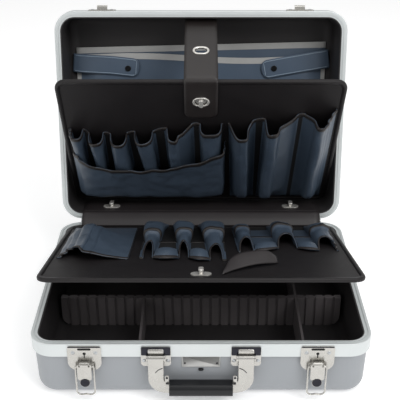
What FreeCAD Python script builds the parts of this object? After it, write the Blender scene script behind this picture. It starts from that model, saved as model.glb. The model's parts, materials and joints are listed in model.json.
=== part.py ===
import FreeCAD, Part
import math
import os
import Sketcher

from FreeCAD import Placement, Rotation, Vector

# A hard tool case, lid open: two shells in an edge frame, two hinged tool panels, key latches and a handle.
# Millimetres and degrees. Origin at the middle of the base's underside, +X right, +Y back, +Z up.

driving_sizes = [
    # the case as a whole
    ("case_width", 460), ("case_depth", 340), ("base_height", 90), ("lid_height", 90),
    ("corner_radius", 32), ("rim_gap", 0.4), ("lid_open", 100), ("overrun", 1),
    # the extruded edge frame that holds each shell
    ("frame_height", 20), ("rim_width", 9), ("frame_wall", 2), ("rim_thickness", 2.6), ("inner_leg", 12),
    ("groove_inset", 4), ("groove_width", 2), ("groove_depth", 1.2), ("tongue_clear", 0.3), ("rim_round", 1.2),
    # the vacuum formed shells and their linings
    ("shell_inset", 3), ("shell_wall", 2.6), ("shell_draft", 2), ("shell_edge_radius", 20), ("seat_clear", 0.2),
    ("liner_gap", 0.3), ("liner_wall", 1.5), ("liner_drop", 1), ("liner_edge_radius", 16),
    # the grooved divider walls of the base
    ("divider_height", 49), ("divider_setback", 170), ("comb_thickness", 9), ("wall_comb_thickness", 5.5),
    ("comb_end_gap", 5), ("slot_width", 4), ("slot_depth", 2.5), ("slot_count", 29), ("wall_slot_count", 27),
    ("comb_end_margin", 11), ("left_slot", -6), ("right_slot", 10), ("divider_corner", 16), ("divider_play", 0.3),
    ("wall_comb_lift", 17), ("wall_comb_gap", 0.3),
    # the continuous hinge along the back
    ("hinge_inset", 30), ("knuckle_count", 21), ("knuckle_radius", 3.2), ("knuckle_clear", 0.3),
    ("leaf_height", 18), ("leaf_thickness", 1.2), ("hinge_pin_radius", 1.6), ("pin_clear", 0.05),
    ("hinge_rivet_count", 8), ("hinge_rivet_margin", 20),
    ("rivet_radius", 2.8), ("rivet_rise", 1.2),
    # the two key latches
    ("latch_inset", 75), ("latch_width", 45), ("latch_height", 39), ("latch_drop", 2.5),
    ("latch_thickness", 1.5), ("latch_top_radius", 4), ("latch_bottom_radius", 14), ("standoff_gap", 0.3),
    ("standoff_margin", 4), ("latch_slot_length", 18), ("latch_slot_width", 3.5), ("latch_slot_drop", 4.5),
    ("keyhole_radius", 2.2), ("keyhole_drop", 14), ("keyhole_slit", 1.6), ("keyhole_length", 7),
    ("latch_rivet_spacing", 30), ("latch_rivet_drop", 10),
    ("lever_drop", 27.3), ("lever_standoff", 5.2), ("lever_width", 19), ("lever_length", 23.7),
    ("lever_thickness", 1.5), ("lever_reach", 2.8), ("lever_head", 1.5), ("cheek_thickness", 1.5),
    ("cheek_length", 8), ("cheek_back", 2.6), ("thumb_radius", 6.8), ("thumb_drop", 4), ("lever_notch", 4),
    ("barrel_radius", 3.2), ("ear_thickness", 1.6), ("ear_spacing", 11.2), ("ear_radius", 2.4), ("ear_notch", 1.8),
    ("ear_clear", 0.3), ("latch_pin_radius", 1.3), ("pin_overhang", 0.2),
    ("bail_drop", 4), ("bail_wire_radius", 1.3), ("bail_width", 27), ("bail_length", 47.7),
    ("bail_corner_radius", 6), ("bail_bend_radius", 2), ("bail_dent", 2), ("bail_end_gap", 0.3),
    # the catches on the lid
    ("catch_width", 43), ("catch_height", 14), ("catch_rise", 3), ("catch_thickness", 1.5), ("catch_radius", 4),
    ("hook_width", 16), ("hook_reach", 8), ("hook_thickness", 2.4), ("hook_lip", 3.5), ("hook_play", 0.3),
    ("hook_radius", 1.2), ("catch_rivet_spacing", 30),
    # the folding handle
    ("handle_spacing", 120), ("bracket_width", 40), ("bracket_height", 30), ("bracket_drop", 4),
    ("bracket_thickness", 1.5), ("bracket_radius", 5), ("bracket_rivet_spacing", 32), ("bracket_rivet_drop", 25),
    ("handle_drop", 18), ("handle_standoff", 4.5), ("bracket_ear_thickness", 2), ("bracket_ear_radius", 4.4),
    ("arm_width", 21), ("arm_thickness", 3.5), ("arm_barrel_radius", 4), ("arm_clear", 0.3),
    ("handle_pin_radius", 1.8), ("arm_drop", 55), ("arm_outer_radius", 24), ("arm_inner_radius", 5),
    ("arm_edge_round", 1), ("grip_length", 85), ("grip_height", 18), ("grip_depth", 22), ("grip_radius", 7),
    ("grip_forward", 4), ("core_radius", 4), ("core_clear", 0.1),
    # the two tool panels
    ("panel_thickness", 4), ("panel_radius", 18), ("binding_width", 7), ("binding_wall", 0.8),
    ("hinge_room", 3.2), ("panel_clear", 1.8), ("upper_short", 8.9), ("upper_hinge_depth", 65),
    ("upper_lean", 38.3), ("lower_hinge_drop", 4), ("lower_tilt", 16.2),
    # the vinyl pockets sewn on the panels
    ("vinyl_wall", 2), ("pocket_margin", 10), ("web_width", 12), ("lower_web_width", 24), ("pocket_round", 7),
    ("pocket_toe", 6), ("pocket_toe_run", 34), ("upper_split", 40), ("loops_start", 122), ("loops_end", 187),
    ("loops_height", 24), ("wide_start", 12), ("wide_end", 118), ("wide_height", 28), ("tall_end", 215),
    ("tall_height", 30), ("lower_start", 12), ("lower_end", 175), ("lower_pocket_height", 26),
    ("big_pocket_width", 104), ("lower_split", 41), ("lower_loops_count", 3), ("side_loops_count", 3),
    ("side_loops_margin", 14.3),
    # turn locks, eyelets, the strap, the pull and the flap over the hinge
    ("turn_plate_length", 28), ("turn_plate_width", 16), ("turn_plate_thickness", 1.2), ("turn_post_radius", 2.4),
    ("turn_post_height", 4.3), ("turn_head_length", 16), ("turn_head_width", 7), ("turn_head_thickness", 3),
    ("turn_clear", 0.05), ("turn_round", 1), ("lower_lock_setback", 24), ("upper_lock_setback", 42),
    ("eyelet_length", 26), ("eyelet_width", 18), ("eyelet_thickness", 1), ("eyelet_hole_length", 19),
    ("eyelet_hole_width", 9), ("upper_eyelet_share", 0.42),
    ("strap_width", 50), ("strap_thickness", 1.5), ("strap_tail", 79), ("strap_root", 22), ("strap_gap", 0.3),
    ("strap_rise", 3.4), ("strap_end_radius", 12),
    ("pull_length", 84), ("pull_rise", 14), ("pull_width", 18), ("pull_thickness", 2), ("pull_foot", 12),
    ("pull_setback", 62), ("pull_offset", 58), ("pull_turn", 50), ("pull_round", 8),
    ("flap_inset", 33), ("flap_depth", 48), ("flap_start", 4), ("flap_thickness", 1.5), ("flap_gap", 0.3),
    ("flap_radius", 10), ("flap_lock_depth", 26), ("flap_lock_inset", 46), ("flap_over", 1.5),
    # the document pocket at the back of the lid
    ("document_clear", 0.4), ("document_foot", 10), ("document_setback", 60), ("document_depth", 10),
    ("document_lift", 2.7), ("document_wall", 1.5), ("document_radius", 10), ("document_strap_length", 112),
    ("document_strap_width", 32), ("document_strap_thickness", 1.5), ("document_strap_setback", 26),
    ("snap_radius", 5), ("snap_rise", 1.5), ("snap_inset", 24),
]

# the loops and the tall pockets of the upper panel, from left to right, each as a part of its row's length
upper_loops_shares = (0.114, 0.122, 0.155, 0.19, 0.227, 0.192)
bump_round_share = 0.44
tall_pockets_shares = (0.3, 0.37, 0.33)

same_place = 0.01

os.makedirs("parts", exist_ok=True)
doc = FreeCAD.newDocument("tool_case")
sheet = doc.addObject("Spreadsheet::Sheet", "sizes")


class Size:
    # a driving dimension, or a sum of some: its number, and the formula that features are bound to

    def __init__(self, number, formula):
        self.number = number
        self.formula = formula

    def __float__(self):
        return float(self.number)

    def __add__(self, other):
        return Size(self.number + float(other), "(%s + %s)" % (self.formula, text(other)))

    def __sub__(self, other):
        return Size(self.number - float(other), "(%s - %s)" % (self.formula, text(other)))

    def __mul__(self, other):
        return Size(self.number * float(other), "(%s * %s)" % (self.formula, text(other)))

    def __truediv__(self, other):
        return Size(self.number / float(other), "(%s / %s)" % (self.formula, text(other)))

    def __neg__(self):
        return Size(-self.number, "(-1 * %s)" % self.formula)


class Sizes:
    pass


def text(value):
    return value.formula if isinstance(value, Size) else repr(float(value))


size = Sizes()
for row, (name, value) in enumerate(driving_sizes, start=1):
    sheet.set("A%d" % row, name)
    sheet.set("B%d" % row, str(value))
    sheet.setAlias("B%d" % row, name)
    setattr(size, name, Size(value, "sizes." + name))
doc.recompute()


# Helpers that make a body, its sketches and its features

def new_body(name):
    body = doc.addObject("PartDesign::Body", name)
    body.Label = name
    return body


def bind(thing, path, value):
    if isinstance(value, Size):
        thing.setExpression(path, value.formula)


def new_sketch(body, plane, across=0, up=0, out=0):
    # offsets are along the plane's own two directions and its normal
    sketch = body.newObject("Sketcher::SketchObject", body.Name + "_sketch")
    support = next(feature for feature in body.Origin.OriginFeatures if feature.Role == plane)
    sketch.AttachmentSupport = [(support, "")]
    sketch.MapMode = "FlatFace"
    sketch.AttachmentOffset = Placement(Vector(float(across), float(up), float(out)), Rotation())
    bind(sketch, "AttachmentOffset.Base.x", across)
    bind(sketch, "AttachmentOffset.Base.y", up)
    bind(sketch, "AttachmentOffset.Base.z", out)
    return sketch


def dimension(sketch, kind, *args):
    index = sketch.addConstraint(Sketcher.Constraint(kind, *args[:-1], float(args[-1])))
    bind(sketch, "Constraints[%d]" % index, args[-1])


def rounded(sketch, width, height, radius):
    # a rectangle with round corners, centred on the sketch's origin
    w = float(width) / 2
    h = float(height) / 2
    r = float(radius)
    first = sketch.GeometryCount
    lines = [((r - w, -h), (w - r, -h)), ((w, r - h), (w, h - r)),
             ((w - r, h), (r - w, h)), ((-w, h - r), (-w, r - h))]
    for start, end in lines:
        sketch.addGeometry(Part.LineSegment(Vector(*start), Vector(*end)), False)
    for corner, (x, y) in enumerate([(w - r, r - h), (w - r, h - r), (r - w, h - r), (r - w, r - h)]):
        circle = Part.Circle(Vector(x, y), Vector(0, 0, 1), r)
        start = (corner - 1) * math.pi / 2
        sketch.addGeometry(Part.ArcOfCircle(circle, start, start + math.pi / 2), False)
    for side in range(4):
        line = first + side
        arc = first + 4 + side
        following = first + (side + 1) % 4
        sketch.addConstraint(Sketcher.Constraint("Tangent", line, 2, arc, 1))
        sketch.addConstraint(Sketcher.Constraint("Tangent", arc, 2, following, 1))
    sketch.addConstraint(Sketcher.Constraint("Symmetric", first, 1, first, 2, -2))
    sketch.addConstraint(Sketcher.Constraint("Symmetric", first + 1, 1, first + 1, 2, -1))
    sketch.addConstraint(Sketcher.Constraint("Horizontal", first + 2))
    sketch.addConstraint(Sketcher.Constraint("Vertical", first + 3))
    for arc in range(5, 8):
        sketch.addConstraint(Sketcher.Constraint("Equal", first + 4, first + arc))
    dimension(sketch, "Radius", first + 4, radius)
    dimension(sketch, "DistanceX", first + 3, 1, first + 1, 1, width)
    dimension(sketch, "DistanceY", first, 1, first + 2, 1, height)


def rectangle(sketch, width, height):
    w = float(width) / 2
    h = float(height) / 2
    first = sketch.GeometryCount
    corners = [Vector(-w, -h), Vector(w, -h), Vector(w, h), Vector(-w, h)]
    for side in range(4):
        sketch.addGeometry(Part.LineSegment(corners[side], corners[(side + 1) % 4]), False)
    for side in range(4):
        sketch.addConstraint(Sketcher.Constraint("Coincident", first + side, 2, first + (side + 1) % 4, 1))
        sketch.addConstraint(Sketcher.Constraint("Vertical" if side % 2 else "Horizontal", first + side))
    sketch.addConstraint(Sketcher.Constraint("Symmetric", first, 1, first + 2, 1, -1, 1))
    dimension(sketch, "DistanceX", first, 1, first, 2, width)
    dimension(sketch, "DistanceY", first + 1, 1, first + 1, 2, height)


def circle(sketch, radius):
    index = sketch.addGeometry(Part.Circle(Vector(), Vector(0, 0, 1), float(radius)), False)
    sketch.addConstraint(Sketcher.Constraint("Coincident", index, 3, -1, 1))
    dimension(sketch, "Radius", index, radius)


def corner_points(corners, index):
    # where a corner's arc starts, its middle and its end; a sharp corner has one point
    x, y, r = (float(value) for value in corners[index])
    here = Vector(x, y)
    if r == 0:
        return [here]
    sides = []
    for step in (-1, 1):
        other = corners[(index + step) % len(corners)]
        sides.append((Vector(float(other[0]), float(other[1])) - here).normalize())
    half = sides[0].getAngle(sides[1]) / 2
    middle = (sides[0] + sides[1]).normalize()
    centre = here + middle * (r / math.sin(half))
    run = r / math.tan(half)
    return [here + sides[0] * run, centre - middle * r, here + sides[1] * run]


def outline(sketch, corners):
    # a closed outline of straight sides; each corner is given as x, y and its radius
    points = [corner_points(corners, index) for index in range(len(corners))]
    for index, corner in enumerate(points):
        if len(corner) == 3:
            sketch.addGeometry(Part.Arc(*corner), False)
        following = points[(index + 1) % len(points)][0]
        if corner[-1].distanceToPoint(following) > Part.Precision.confusion():
            sketch.addGeometry(Part.LineSegment(corner[-1], following), False)


def extrude(body, kind, sketch, length, backwards=False, both=False, taper=None):
    before = body.Tip.Shape.Volume if body.Tip else 0
    feature = body.newObject("PartDesign::" + kind, body.Name + "_" + kind.lower())
    feature.Profile = sketch
    if length is None:
        feature.Type = "ThroughAll"
    else:
        feature.Length = float(length)
        bind(feature, "Length", length)
    feature.Reversed = backwards
    feature.SideType = "Symmetric" if both else "One side"
    if taper is not None:
        bind(feature, "TaperAngle", taper)
    doc.recompute()
    gained = feature.Shape.Volume - before
    if gained == 0 or (gained > 0) != (kind == "Pad"):
        raise RuntimeError("%s does nothing: %s" % (feature.Name, body.Label))
    return feature


def pad(body, sketch, length, **way):
    return extrude(body, "Pad", sketch, length, **way)


def pocket(body, sketch, length, **way):
    return extrude(body, "Pocket", sketch, length, **way)


def dress(body, kind, names, prop, value):
    base = body.Tip
    feature = body.newObject("PartDesign::" + kind, body.Name + "_" + kind.lower())
    feature.Base = (base, names)
    setattr(feature, prop, float(value))
    bind(feature, prop, value)
    body.Tip = feature
    return feature


def edges_where(shape, test):
    return ["Edge%d" % (index + 1) for index, edge in enumerate(shape.Edges) if test(edge)]


def flat_at(edge, axis, value):
    # true for an edge that lies wholly in the plane axis = value
    return all(abs(getattr(point, axis) - float(value)) < same_place for point in edge.discretize(4))


def round_edges(body, test, radius):
    names = edges_where(body.Tip.Shape, test)
    if not names:
        raise RuntimeError("no edge to round on " + body.Label)
    feature = dress(body, "Fillet", names, "Radius", radius)
    doc.recompute()
    return feature


def repeat(body, features, sketch, span, count):
    pattern = body.newObject("PartDesign::LinearPattern", body.Name + "_row")
    pattern.Originals = features
    pattern.Direction = (sketch, ["H_Axis"])
    bind(pattern, "Length", span)
    bind(pattern, "Occurrences", count)
    body.Tip = pattern
    doc.recompute()


def loose(name, shape, place=None):
    # a piece that no body feature makes, such as a group of fasteners or a bent wire
    thing = doc.addObject("Part::Feature", name)
    thing.Label = name
    thing.Shape = shape
    if place is not None:
        thing.Placement = place
    return thing


def group(name, members):
    # like pieces that share one node, each still a solid of its own
    thing = doc.addObject("Part::Compound", name)
    thing.Label = name
    thing.Links = members
    return thing


# Places: where each group of pieces sits

def at(x, y, z):
    return Vector(float(x), float(y), float(z))


def turned(angle, point):
    # a turn about an axis along X through the point
    return Placement(Vector(), Rotation(Vector(1, 0, 0), float(angle)), point)


def draft_run(depth):
    # how far a drafted wall leans in over this depth
    lean = math.tan(math.radians(float(size.shell_draft)))
    return Size(float(depth) * lean, "(%s) * tan(sizes.shell_draft * 1deg)" % text(depth))


hinge_y = size.case_depth / 2 + size.knuckle_radius + size.knuckle_clear
hinge_z = size.base_height + size.rim_gap / 2
hinge_point = at(0, hinge_y, hinge_z)
lid_rim = size.base_height + size.rim_gap
opening = turned(-size.lid_open, hinge_point)

into_base = Placement(at(0, 0, size.base_height), Rotation(Vector(0, 1, 0), 180))
into_lid = opening.multiply(Placement(at(0, 0, lid_rim), Rotation()))
front_y = -(size.case_depth / 2)
liner_inset = size.rim_width + size.liner_gap
shell_seat = size.rim_thickness + size.seat_clear


def on_front(x):
    return Placement(at(x, front_y, size.base_height), Rotation())


def on_lid_front(x):
    return opening.multiply(Placement(at(x, front_y, lid_rim), Rotation()))


def inner_wall(depth):
    # half the clear depth of a lining, this far from the rim
    return size.case_depth / 2 - liner_inset - size.liner_wall - draft_run(depth - size.liner_drop)


def side_wall(depth):
    # half the clear width of a lining, this far from the rim
    return size.case_width / 2 - liner_inset - size.liner_wall - draft_run(depth - size.liner_drop)


upper_width = (side_wall(size.upper_hinge_depth) - size.panel_clear) * 2
upper_length = inner_wall(size.upper_hinge_depth) * 2 - size.hinge_room - size.panel_clear - size.upper_short
lower_width = (side_wall(size.lower_hinge_drop) - size.panel_clear) * 2
lower_length = inner_wall(size.lower_hinge_drop) * 2 - size.hinge_room - size.panel_clear
upper_pivot = at(0, inner_wall(size.upper_hinge_depth) - size.hinge_room, lid_rim + size.upper_hinge_depth)
upper_flip = Placement(upper_pivot, Rotation(Vector(1, 0, 0), 180 + float(size.upper_lean)))
on_upper = opening.multiply(upper_flip)
lower_pivot = at(0, inner_wall(size.lower_hinge_drop) - size.hinge_room, size.base_height - size.lower_hinge_drop)
on_lower = Placement(lower_pivot, Rotation(Vector(1, 0, 0), -float(size.lower_tilt)))


# Shells, frames and linings

def edge_frame(name, place, tongue):
    # an extruded channel bent round the rim: a tall outer wall, a short inner leg, a seal groove or tongue
    body = new_body(name)
    ring = new_sketch(body, "XY_Plane")
    rounded(ring, size.case_width, size.case_depth, size.corner_radius)
    rounded(ring, size.case_width - size.rim_width * 2, size.case_depth - size.rim_width * 2,
            size.corner_radius - size.rim_width)
    pad(body, ring, size.frame_height)
    above_leg = new_sketch(body, "XY_Plane", out=size.inner_leg)
    rounded(above_leg, size.case_width - size.frame_wall * 2, size.case_depth - size.frame_wall * 2,
            size.corner_radius - size.frame_wall)
    pocket(body, above_leg, size.frame_height - size.inner_leg + size.overrun, backwards=True)
    channel = new_sketch(body, "XY_Plane", out=size.rim_thickness)
    rounded(channel, size.case_width - size.frame_wall * 2, size.case_depth - size.frame_wall * 2,
            size.corner_radius - size.frame_wall)
    leg = size.rim_width - size.frame_wall
    rounded(channel, size.case_width - leg * 2, size.case_depth - leg * 2, size.corner_radius - leg)
    pocket(body, channel, size.inner_leg - size.rim_thickness + size.overrun, backwards=True)
    seal = new_sketch(body, "XY_Plane")
    outer = size.groove_inset + size.tongue_clear if tongue else size.groove_inset
    inner = size.groove_inset + size.groove_width
    inner = inner - size.tongue_clear if tongue else inner
    for inset in (outer, inner):
        rounded(seal, size.case_width - inset * 2, size.case_depth - inset * 2, size.corner_radius - inset)
    if tongue:
        pad(body, seal, size.groove_depth + size.rim_gap - size.tongue_clear, backwards=True)
    else:
        pocket(body, seal, size.groove_depth, backwards=True)
    round_edges(body, lambda edge: flat_at(edge, "z", 0) and on_rim(edge), size.rim_round)
    body.Placement = place
    return body


def on_rim(edge):
    # true for edges of the outer rim line, judged by how far out their ends lie
    box = edge.BoundBox
    out_x = max(abs(box.XMin), abs(box.XMax)) - float(size.case_width) / 2
    out_y = max(abs(box.YMin), abs(box.YMax)) - float(size.case_depth) / 2
    return max(out_x, out_y) > -float(size.tongue_clear)


def tray(name, place, inset, start, depth, wall, edge_radius):
    # a drafted tray with a round bottom edge, open at the rim
    body = new_body(name)
    sketch = new_sketch(body, "XY_Plane", out=start)
    rounded(sketch, size.case_width - inset * 2, size.case_depth - inset * 2, size.corner_radius - inset)
    pad(body, sketch, depth - start, taper=-size.shell_draft)
    inner = inset + wall
    hollow = new_sketch(body, "XY_Plane", out=start)
    rounded(hollow, size.case_width - inner * 2, size.case_depth - inner * 2, size.corner_radius - inner)
    pocket(body, hollow, depth - start - wall, backwards=True, taper=-size.shell_draft)
    round_edges(body, lambda edge: flat_at(edge, "z", depth - wall), edge_radius - wall)
    round_edges(body, lambda edge: flat_at(edge, "z", depth), edge_radius)
    body.Placement = place
    return body


def shells():
    for half, place, height in (("base", into_base, size.base_height), ("lid", into_lid, size.lid_height)):
        tray(half + "_shell", place, size.shell_inset, shell_seat, height, size.shell_wall, size.shell_edge_radius)
        edge_frame(half + "_frame", place, half == "lid")
        floor = height - size.shell_wall - size.liner_gap
        tray(half + "_liner", place, liner_inset, size.liner_drop, floor, size.liner_wall, size.liner_edge_radius)


# Dividers of the base

floor_z = size.shell_wall + size.liner_gap + size.liner_wall
floor_depth = size.base_height - floor_z
comb_length = (size.case_width / 2 - liner_inset - size.liner_wall - draft_run(floor_depth) - size.comb_end_gap) * 2
slot_pitch = (comb_length - size.comb_end_margin * 2) / (size.slot_count - 1)
long_divider_y = size.case_depth / 2 - size.divider_setback
wall_comb_y = inner_wall(floor_depth - size.wall_comb_lift) - size.wall_comb_gap - size.wall_comb_thickness / 2


def comb(name, length, count, thickness, height, faces, lift, y):
    # a moulded wall with upright slots at a steady pitch; faces are the sides that have slots
    body = new_body(name)
    plan = new_sketch(body, "XY_Plane")
    rectangle(plan, length, thickness)
    pad(body, plan, height)
    ends = float(length) / 2
    if float(lift) == float(floor_z):
        round_edges(body, lambda edge: flat_at(edge, "z", 0) and abs(abs(edge.CenterOfMass.x) - ends) < same_place,
                    size.divider_corner)
    reach = thickness / 2 - size.slot_depth / 2 + size.overrun / 2
    span = slot_pitch * (count - 1)
    for side in faces:
        slot = new_sketch(body, "XY_Plane", across=-span / 2, up=reach * side)
        rectangle(slot, size.slot_width, size.slot_depth + size.overrun)
        cut = pocket(body, slot, None, backwards=True)
        repeat(body, [cut], slot, span, count)
    body.Placement = Placement(at(0, y, lift), Rotation())
    return body


def cross_divider(name, slot, front, back, round_front):
    # a loose wall that drops into a slot at each end; its lower corner clears the lining's round edge
    body = new_body(name)
    length = back - front
    side = new_sketch(body, "YZ_Plane", across=length / 2, up=size.divider_height / 2)
    rectangle(side, length, size.divider_height)
    pad(body, side, size.slot_width - size.divider_play * 2, both=True)
    end = 0 if round_front else length
    round_edges(body, lambda edge: flat_at(edge, "z", 0) and flat_at(edge, "y", end), size.divider_corner)
    body.Placement = Placement(at(slot_pitch * slot, front, floor_z), Rotation())
    return body


def dividers():
    comb("long_divider", comb_length, size.slot_count, size.comb_thickness, size.divider_height, (-1, 1), floor_z,
         long_divider_y)
    low = floor_z + size.wall_comb_lift
    height = size.divider_height - size.wall_comb_lift
    length = size.case_width - size.corner_radius * 2
    for name, way in (("front_comb", 1), ("rear_comb", -1)):
        comb(name, length, size.wall_slot_count, size.wall_comb_thickness, height, (way,), low, wall_comb_y * -way)
    wall_slot = wall_comb_y - size.wall_comb_thickness / 2 + size.slot_depth - size.divider_play
    long_slot = size.comb_thickness / 2 - size.slot_depth + size.divider_play
    for name, slot in (("left_divider", size.left_slot), ("right_divider", size.right_slot)):
        cross_divider(name, slot, -wall_slot, long_divider_y - long_slot, True)
    cross_divider("rear_divider", size.right_slot, long_divider_y + long_slot, wall_slot, False)


# The continuous hinge

hinge_length = size.case_width - size.hinge_inset * 2
segment = hinge_length / size.knuckle_count
axis_setback = size.knuckle_radius + size.knuckle_clear


def hinge_leaf(name, place, first, count):
    # a flat leaf on the frame and every second knuckle; origin on the pin, the leaf hangs down
    body = new_body(name)
    top = size.knuckle_radius + size.knuckle_clear
    leaf = new_sketch(body, "XZ_Plane", up=-(top + size.leaf_height) / 2, out=axis_setback - size.leaf_thickness)
    rectangle(leaf, hinge_length, size.leaf_height - top)
    pad(body, leaf, size.leaf_thickness)
    start = -(hinge_length / 2) + segment * first + size.knuckle_clear / 2
    tab = new_sketch(body, "YZ_Plane", across=size.leaf_thickness / 2 - axis_setback,
                     up=-(top + size.overrun) / 2, out=start)
    rectangle(tab, size.leaf_thickness, top + size.overrun)
    web = pad(body, tab, segment - size.knuckle_clear)
    roll = new_sketch(body, "YZ_Plane", out=start)
    circle(roll, size.knuckle_radius)
    knuckle = pad(body, roll, segment - size.knuckle_clear)
    line = new_sketch(body, "XY_Plane")
    rectangle(line, size.leaf_thickness, size.leaf_thickness)
    repeat(body, [web, knuckle], line, segment * (count - 1) * 2, Size(count, str(count)))
    bore = new_sketch(body, "YZ_Plane")
    circle(bore, size.hinge_pin_radius + size.pin_clear)
    pocket(body, bore, None, both=True)
    body.Placement = place
    return body


def rivet_shape():
    # a low domed head: an arc from its rim to its top, turned about its own axis
    r = float(size.rivet_radius)
    top = float(size.rivet_rise)
    rim = Vector(r, 0, 0)
    crown = Vector(0, 0, top)
    ball = (r * r + top * top) / (2 * top)
    tilt = math.asin(r / ball) / 2
    middle = Vector(ball * math.sin(tilt), 0, top - ball + ball * math.cos(tilt))
    edges = [Part.LineSegment(Vector(), rim), Part.Arc(rim, middle, crown), Part.LineSegment(crown, Vector())]
    face = Part.Face(Part.Wire([edge.toShape() for edge in edges]))
    return face.revolve(Vector(), Vector(0, 0, 1), 360)


def rivet(place, point, direction):
    head = rivet_shape()
    head.Placement = place.multiply(Placement(point, Rotation(Vector(0, 0, 1), direction)))
    return head


def hinge():
    axis = Placement(hinge_point, Rotation())
    lid_axis = opening.multiply(Placement(hinge_point, Rotation(Vector(0, 1, 0), 180)))
    base_knuckles = (int(float(size.knuckle_count)) + 1) // 2
    hinge_leaf("hinge_leaf_base", axis, 0, base_knuckles)
    hinge_leaf("hinge_leaf_lid", lid_axis, 1, base_knuckles - 1)
    pin = doc.addObject("Part::Cylinder", "hinge_pin")
    pin.Label = "hinge_pin"
    bind(pin, "Radius", size.hinge_pin_radius)
    bind(pin, "Height", hinge_length)
    pin.Placement = Placement(hinge_point - at(hinge_length / 2, 0, 0), Rotation(Vector(0, 1, 0), 90))
    return axis, lid_axis


def hinge_rivets(place):
    count = int(float(size.hinge_rivet_count))
    span = float(hinge_length) - 2 * float(size.hinge_rivet_margin)
    y = size.leaf_thickness - axis_setback
    z = -(size.leaf_height + axis_setback) / 2
    return [rivet(place, at(span * (index / (count - 1) - 0.5), y, z), Vector(0, 1, 0)) for index in range(count)]


# Latches: a stamped plate with two ears, a lever on a pin, a wire bail on the lever

latch_face = -size.latch_thickness
lever_axis_y = latch_face - size.lever_standoff
frame_step = size.shell_inset + draft_run(size.frame_height - shell_seat) - size.standoff_gap


def upright_plate(body, width, height, drop, thickness, radius):
    # a plate on the case front: sketched from the front, its top edge this far below the rim
    face = new_sketch(body, "XZ_Plane", up=-(drop + height / 2))
    rounded(face, width, height, radius)
    pad(body, face, thickness)


def standoff(body, width, bottom, radius):
    # the plate's pressed back, which fills the step below the frame
    top = size.frame_height + size.standoff_gap
    low = bottom - size.standoff_margin
    face = new_sketch(body, "XZ_Plane", up=-(top + low) / 2)
    rounded(face, width - size.standoff_margin * 2, low - top, radius)
    pad(body, face, frame_step, backwards=True)


def ear_pair(body, inner, thickness, radius, face, axis_y, drop, hole):
    # two ears on the plate's face, round about the pin
    depth = face - axis_y + radius
    middle = face - depth / 2
    for side in (-1, 1):
        centre = (inner / 2 + thickness / 2) * side
        profile = new_sketch(body, "YZ_Plane", across=middle, up=-drop, out=centre)
        rounded(profile, depth, radius * 2, radius - size.overrun / 4)
        pad(body, profile, thickness, both=True)
    bore = new_sketch(body, "YZ_Plane", across=axis_y, up=-drop)
    circle(bore, hole)
    pocket(body, bore, None, both=True)


def latch_plate(name, x):
    body = new_body(name)
    bottom = size.latch_drop + size.latch_height
    half = size.latch_width / 2
    face = new_sketch(body, "XZ_Plane")
    outline(face, [
        (-half, -size.latch_drop, size.latch_top_radius), (half, -size.latch_drop, size.latch_top_radius),
        (half, -bottom, size.latch_bottom_radius), (-half, -bottom, size.latch_bottom_radius)])
    pad(body, face, size.latch_thickness)
    slot = new_sketch(body, "XZ_Plane", up=-(size.latch_drop + size.latch_slot_drop))
    rounded(slot, size.latch_slot_length, size.latch_slot_width, size.latch_slot_width / 2 - size.pin_clear)
    cut_front(body, slot)
    keyhole = new_sketch(body, "XZ_Plane", up=-size.keyhole_drop)
    circle(keyhole, size.keyhole_radius)
    cut_front(body, keyhole)
    slit = new_sketch(body, "XZ_Plane", up=-(size.keyhole_drop + size.keyhole_length / 2))
    rectangle(slit, size.keyhole_slit, size.keyhole_length)
    cut_front(body, slit)
    standoff(body, size.latch_width, bottom, size.latch_top_radius)
    ear_pair(body, size.ear_spacing, size.ear_thickness, size.ear_radius, latch_face, lever_axis_y,
             size.lever_drop, size.latch_pin_radius)
    body.Placement = on_front(x)
    return body


def cut_front(body, sketch):
    pocket(body, sketch, None, both=True)


def latch_lever(name, x):
    # origin on the lever's pin
    body = new_body(name)
    front = size.lever_reach
    half = size.lever_width / 2
    face = new_sketch(body, "XZ_Plane", out=front)
    waist = size.thumb_radius
    outline(face, [
        (-half, size.lever_head, size.lever_thickness), (-half, -size.lever_length, size.lever_notch),
        (-waist, -size.lever_length, 0), (0, size.lever_notch - size.lever_length, size.thumb_radius),
        (waist, -size.lever_length, 0), (half, -size.lever_length, size.lever_notch),
        (half, size.lever_head, size.lever_thickness)])
    pad(body, face, size.lever_thickness)
    thumb = new_sketch(body, "XZ_Plane", up=-(size.lever_length + size.thumb_drop), out=front)
    circle(thumb, size.thumb_radius)
    pad(body, thumb, size.lever_thickness)
    for side in (-1, 1):
        notch = new_sketch(body, "XZ_Plane", across=(size.ear_spacing + size.ear_thickness) / 2 * side,
                           up=(size.lever_head + size.overrun - size.ear_notch) / 2)
        rectangle(notch, size.ear_thickness + size.ear_clear * 2, size.lever_head + size.overrun + size.ear_notch)
        cut_front(body, notch)
        centre = (half - size.cheek_thickness / 2) * side
        cheek = new_sketch(body, "YZ_Plane", across=(size.cheek_back - front) / 2,
                           up=(size.lever_head - size.cheek_length) / 2, out=centre)
        rectangle(cheek, size.cheek_back + front + size.overrun, size.cheek_length + size.lever_head)
        pad(body, cheek, size.cheek_thickness, both=True)
    barrel_width = size.ear_spacing - size.ear_clear * 2
    barrel = new_sketch(body, "YZ_Plane")
    circle(barrel, size.barrel_radius)
    pad(body, barrel, barrel_width, both=True)
    bore = new_sketch(body, "YZ_Plane")
    circle(bore, size.latch_pin_radius + size.pin_clear)
    pocket(body, bore, barrel_width + size.overrun, both=True)
    bail_bore = new_sketch(body, "YZ_Plane", up=-size.bail_drop)
    circle(bail_bore, size.bail_wire_radius + size.pin_clear)
    pocket(body, bail_bore, None, both=True)
    body.Placement = on_front(x).multiply(Placement(at(0, lever_axis_y, -size.lever_drop), Rotation()))
    return body


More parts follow.
